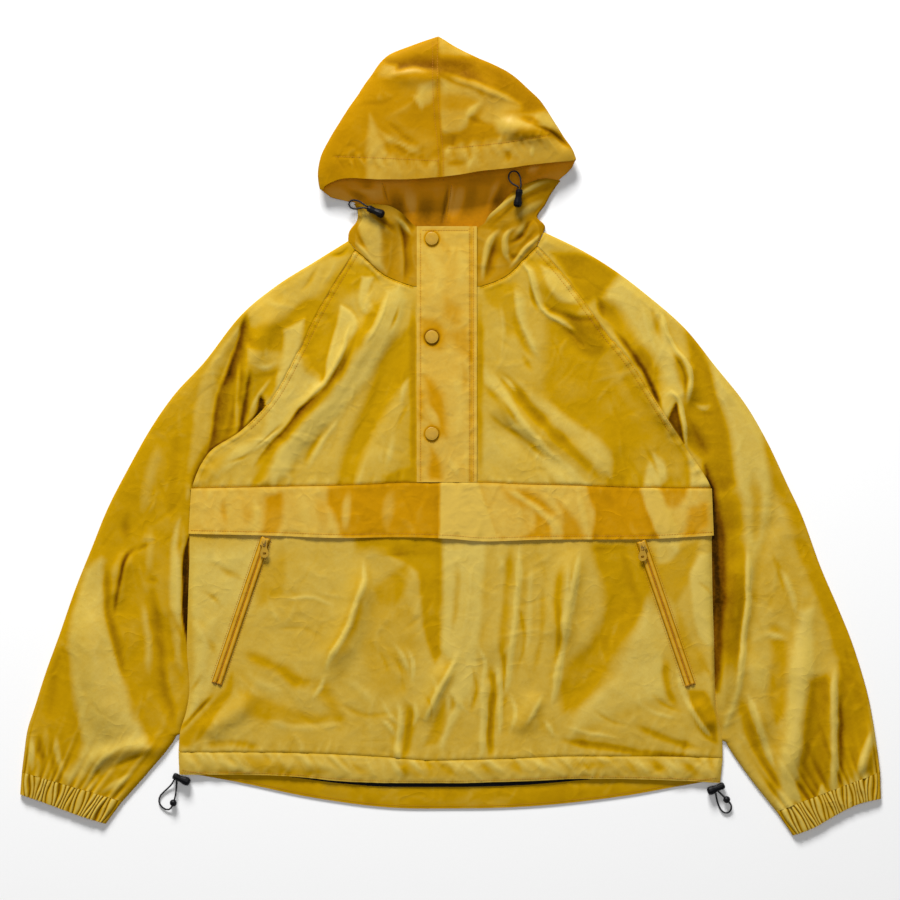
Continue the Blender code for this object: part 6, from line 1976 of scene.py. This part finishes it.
class ANORAK_OT_cords(bpy.types.Operator):
    """Lay the four cord loops, with their locks and beads"""

    bl_idname = "anorak.cords"
    bl_label = "Cords and locks"

    def execute(self, context):
        for name, route in CORD_ROUTES.items():
            path = round_curve(route, CORD_POINTS)
            piece = tube(f"{name}_braid", path, CORD_DIAMETER / 2, LOOKS["braid"])
            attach(piece, "garment")
            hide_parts(name)
        for name in PLASTIC_NODES:
            dress(name, "plastic")
        return {"FINISHED"}


class ANORAK_OT_body(bpy.types.Operator):
    """Lay out the back, the front panels, the pocket flap and the hems"""

    bl_idname = "anorak.body"
    bl_label = "Body"

    def execute(self, context):
        seams = garment_seams()
        chest, flap_edge, hem, hem_edge = (
            seams[name] for name in ("chest", "flap_edge", "hem", "hem_edge")
        )
        back = back_points()
        x, y = back[..., 0], back[..., 1]
        tone = 0.35 + 0.3 * (uneven(x, y, 60, 7) + 0.6 * uneven(x, y, 21, 8))
        cloth_shell("back_cloth", back, "cloth", tone, ["back_panel"])
        for side, inward in INWARD.items():
            raglan, neck = seams[f"raglan_{side}"], seams[f"neck_{side}"]
            puckers = [
                *gathers(chest.line, -1, 10, 16, 0.3 * inward, 0.5, 41),
                *gathers(raglan.line, inward, 9, 9, 0.5, 0.35, 42),
                *gathers(neck.line, inward, 10, 14, 0.2, 0.5, 43),
            ]
            grid = chest_points(side)
            free = smooth_zone(grid[..., 0], grid[..., 1])
            lay_panel(f"chest_{side}", grid, [raglan, neck, chest], free, puckers=puckers)
        grid, to_side = lower_front_points()
        free = smooth_zone(grid[..., 0], grid[..., 1])
        free = free * step_up(0, 14, below_flap(grid)) * step_up(1, 10, to_side)
        puckers = gathers(hem.line, -1, 10, 18, 0.3, 0.55, 44)
        sewn = [hem, seams["zip_left"], seams["zip_right"]]
        lay_panel("front_lower", grid, sewn, free, puckers=puckers)
        grid, to_side = flap_points()
        puckers = [*gathers(flap_edge.line, -1, 6, 8, 0.1, 0.4, 45),
                   *gathers(chest.line, 1, 9, 12, 0.2, 0.4, 46)]
        free = step_up(1, 10, to_side)
        lay_panel("pocket_flap", grid, [chest, flap_edge], free, 0.6, puckers, look="warm")
        grid, to_side = hem_points()
        puckers = [*gathers(hem.line, 1, 8, 26, 0.8, 0.7, 47),
                   *gathers(hem_edge.line, -1, 5.5, 10, 0.4, 0.5, 48)]
        lay_panel("hem_front", grid, [hem, hem_edge], step_up(1, 10, to_side), puckers=puckers)
        grid = back_hem_points()
        tone = creased(grid, "hem_back", [seams["back_hem"], seams["back_hem_edge"]])[1]
        cloth_shell("hem_back_cloth", grid, "cloth", tone, ["hem_back"])
        edge = smooth(LINING_EDGE, 140)
        plan = np.stack([inset(edge, 0, rise) for rise in np.linspace(0, LINING_DEPTH, 6)])
        grid = lay_flat(plan, CLOTH + SEAM + LINING_THICKNESS / 2)
        cloth_shell("lining_cloth", grid, "lining", 0.0, ["lining_edge"], "black_lining")
        return {"FINISHED"}


def below_flap(grid):
    """How far each point lies below the pocket flap's edge."""
    edge = np.array(FLAP_EDGE)
    xs = grid[..., 0].reshape(-1)
    return smooth_at(edge[:, 0], edge[:, 1], xs).reshape(grid.shape[:2]) - grid[..., 1]


class ANORAK_OT_sleeves(bpy.types.Operator):
    """Wrap both sleeves and their gathered cuffs"""

    bl_idname = "anorak.sleeves"
    bl_label = "Sleeves and cuffs"

    def execute(self, context):
        for side in INWARD:
            grid, free, rise = sleeve_points(side)
            lay_panel(f"sleeve_{side}", grid, [], free, rise=rise)
            grid, tone = cuff_points(side)
            cloth_shell(f"cuff_{side}_cloth", grid, "cloth", tone, [f"cuff_{side}"])
        return {"FINISHED"}


class ANORAK_OT_hood(bpy.types.Operator):
    """Shape the two halves of the hood"""

    bl_idname = "anorak.hood"
    bl_label = "Hood"

    def execute(self, context):
        seams = garment_seams()
        for side in INWARD:
            name, brim = f"hood_{side}", seams[f"brim_{side}"]
            grid, free, on_back = hood_points(side)
            puckers = [*gathers(brim.line, 1, 8, 22, 0.6, 0.8, 49),
                       *gathers(brim.line, -1, 9, 14, 0.5, 0.6, 50)]
            x, y = np.nan_to_num(grid[..., 0]), np.nan_to_num(grid[..., 1])
            wander = 2 * uneven(x, y, 30, 3)
            # Inside of the hood: painted shade in its folds and under the brim, painted sheen on
            # its streaks.
            swell, back_tone = lay_folds(x + wander, y, folds_on("hood_inside"), -0.1)
            # Painted shade towards the neck and painted light towards the brim.
            back_tone += 0.2 * uneven(x * 1.6, y * 0.5, 15, 9) + np.clip((y - 285) / 55, -0.5, 0.25)
            grid, tone = creased(grid, name, [seams["hood_centre"], brim], free, gathered=puckers)
            # Painted light: the front of the neck is made paler where the brim's shadow falls.
            tone += 0.22 * free * step_up(300, 275, y)
            grid[..., 2] += np.maximum(swell, 0.0) * on_back
            cloth_shell(f"{name}_cloth", grid, "hood", tone, [name], back_tone=back_tone)
        return {"FINISHED"}


class ANORAK_OT_placket(bpy.types.Operator):
    """Lay the placket over the front opening and set its three snaps"""

    bl_idname = "anorak.placket"
    bl_label = "Placket and snaps"

    def execute(self, context):
        grid = placket_points()
        seams = garment_seams()
        sewn = [seams[name] for name in PLACKET_ROWS]
        left, right = sewn[0].line, sewn[2].line
        puckers = [*gathers(left, 1, 7, 7, 0.2, 0.25, 51), *gathers(right, -1, 7, 9, 0.2, 0.3, 52)]
        grid, tone = creased(grid, "placket", sewn, flutter=0.7, gathered=puckers)
        # Painted shade in a ring round each snap.
        for y in SNAP_YS:
            away = np.hypot(grid[..., 0] - SNAP_X, grid[..., 1] - y) - 8.6
            tone -= 0.9 * np.exp(-((away / 1.3) ** 2)) + 0.25 * np.exp(-((away / 4.0) ** 2))
        cloth_shell("placket_cloth", grid, "warm", tone, ["placket"])
        for name, y in zip(("snap_top", "snap_middle", "snap_bottom"), SNAP_YS):
            snap = snap_cap(f"{name}_cap", (SNAP_X, y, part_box(name)[0][2] / MM))
            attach(snap, "garment")
            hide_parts(name)
        return {"FINISHED"}


class ANORAK_OT_zips(bpy.types.Operator):
    """Set the two pocket zips with their sliders and pull tabs"""

    bl_idname = "anorak.zips"
    bl_label = "Pocket zips"

    def execute(self, context):
        tooth = zip_tooth()
        for side in INWARD:
            grid, tone = zip_points(side)
            tape = (f"zip_{side}_tape", grid, "warm", tone, [f"zip_{side}"])
            cloth_shell(*tape, "yellow_trim", ZIP_THICKNESS)
            zip_teeth(f"zip_{side}_teeth", tooth, side)
            dress(f"slider_{side}", "trim")
            dress(f"pull_tab_{side}", "trim")
        bpy.data.objects.remove(tooth)
        return {"FINISHED"}


class ANORAK_OT_stitching(bpy.types.Operator):
    """Sew the topstitching along the seams and edges"""

    bl_idname = "anorak.stitching"
    bl_label = "Topstitching"

    def execute(self, context):
        seams = garment_seams()
        pitch = context.scene.anorak.stitch_pitch / MM
        for name, pieces in STITCHED_ON.items():
            seam = seams[name]
            line = seam.line[seam.line[:, 1] > RAGLAN_STITCH_END] if "raglan" in name else seam.line
            lines = [beside(line, row * seam.side) for row in seam.rows]
            stitch_rows(f"stitches_{name}", lines, [f"{piece}_cloth" for piece in pieces], pitch)
        for name, routes in HOOD_INSIDE_ROWS.items():
            lines = [smooth(route, 12) for route in routes]
            on = ["hood_left_cloth", "hood_right_cloth"]
            stitch_rows(f"stitches_inside_{name}", lines, on, pitch)
        for side in INWARD:
            _, bottom, run, aside = zip_course(side)
            middles = [bottom + run * step for step in np.linspace(-1.2, 1.6, 5)]
            reach = aside * BAR_TACK_HALF
            lines = [np.linspace(middle - reach, middle + reach, 8) for middle in middles]
            on = ["front_lower_cloth", f"zip_{side}_tape"]
            stitch_rows(f"bar_tack_{side}", lines, on, BAR_TACK_PITCH)
        return {"FINISHED"}


def soft_light(name, place, size, watts):
    """Rectangular light that shines at the middle of the floor."""
    data = bpy.data.lights.new(name, "AREA")
    data.shape = "RECTANGLE"
    data.size, data.size_y = size
    data.energy = watts
    lamp = bpy.data.objects.new(name, data)
    bpy.context.scene.collection.objects.link(lamp)
    lamp.location = place
    lamp.rotation_euler = (Vector() - Vector(place)).to_track_quat("-Z", "Y").to_euler()


class ANORAK_OT_stage(bpy.types.Operator):
    """Lay the pale floor and set the studio light and the camera"""

    bl_idname = "anorak.stage"
    bl_label = "Floor, light and camera"

    def execute(self, context):
        deselect_all()
        bpy.ops.mesh.primitive_plane_add(size=30, location=(0, 0, -0.0006))
        floor = context.active_object
        floor.name = "floor"
        settle(floor)
        material, tree, shader = new_look("Pale floor")
        grain = {"Vector": node(tree, "TexCoord")["Object"], "Scale": 900.0, "Detail": 3.0}
        grain = node(tree, "TexNoise", grain)["Fac"]
        paper = mixed(tree, grain, (0.92, 0.92, 0.92, 1), (0.95, 0.95, 0.95, 1))
        feed(tree, shader, {"Base Color": paper})
        shader.inputs["Roughness"].default_value = 0.9
        floor.data.materials.append(material)
        world = bpy.data.worlds.new("Studio")
        world.use_nodes = True
        sky = world.node_tree.nodes["Background"].inputs
        sky["Color"].default_value = (1.0, 1.0, 1.0, 1)
        sky["Strength"].default_value = 0.13
        context.scene.world = world
        soft_light("overhead light", (0.0, 0.0, 3.4), (1.6, 1.6), 30)
        soft_light("key light", (-0.9, 4.6, 2.25), (2.2, 1.3), 490)
        camera = bpy.data.cameras.new("camera")
        camera.lens = 100.0
        camera.sensor_width = 36.0
        view = bpy.data.objects.new("camera", camera)
        context.scene.collection.objects.link(view)
        view.location = (FRAME_MIDDLE[0] * MM, FRAME_MIDDLE[1] * MM, 3.005)
        context.scene.camera = view
        context.scene.view_settings.view_transform = "Standard"
        return {"FINISHED"}


STEPS = (
    ANORAK_OT_looks, ANORAK_OT_cords, ANORAK_OT_body, ANORAK_OT_sleeves, ANORAK_OT_hood,
    ANORAK_OT_placket, ANORAK_OT_zips, ANORAK_OT_stitching, ANORAK_OT_stage,
)


class ANORAK_PT_sidebar(bpy.types.Panel):
    """Lists the anorak's steps and sizes"""

    bl_idname = "ANORAK_PT_sidebar"
    bl_label = "Anorak Pullover"
    bl_space_type = "VIEW_3D"
    bl_region_type = "UI"
    bl_category = "Anorak"

    def draw(self, context):
        for name in AnorakSettings.__annotations__:
            self.layout.prop(context.scene.anorak, name)
        for step in STEPS:
            self.layout.operator(step.bl_idname)


CLASSES = (AnorakSettings, *STEPS, ANORAK_PT_sidebar)


def register():
    for item in CLASSES:
        bpy.utils.register_class(item)
    bpy.types.Scene.anorak = PointerProperty(type=AnorakSettings)


def unregister():
    del bpy.types.Scene.anorak
    for item in reversed(CLASSES):
        bpy.utils.unregister_class(item)


def main():
    register()
    for step in STEPS:
        part, name = step.bl_idname.split(".")
        getattr(getattr(bpy.ops, part), name)()


if __name__ == "__main__":
    main()
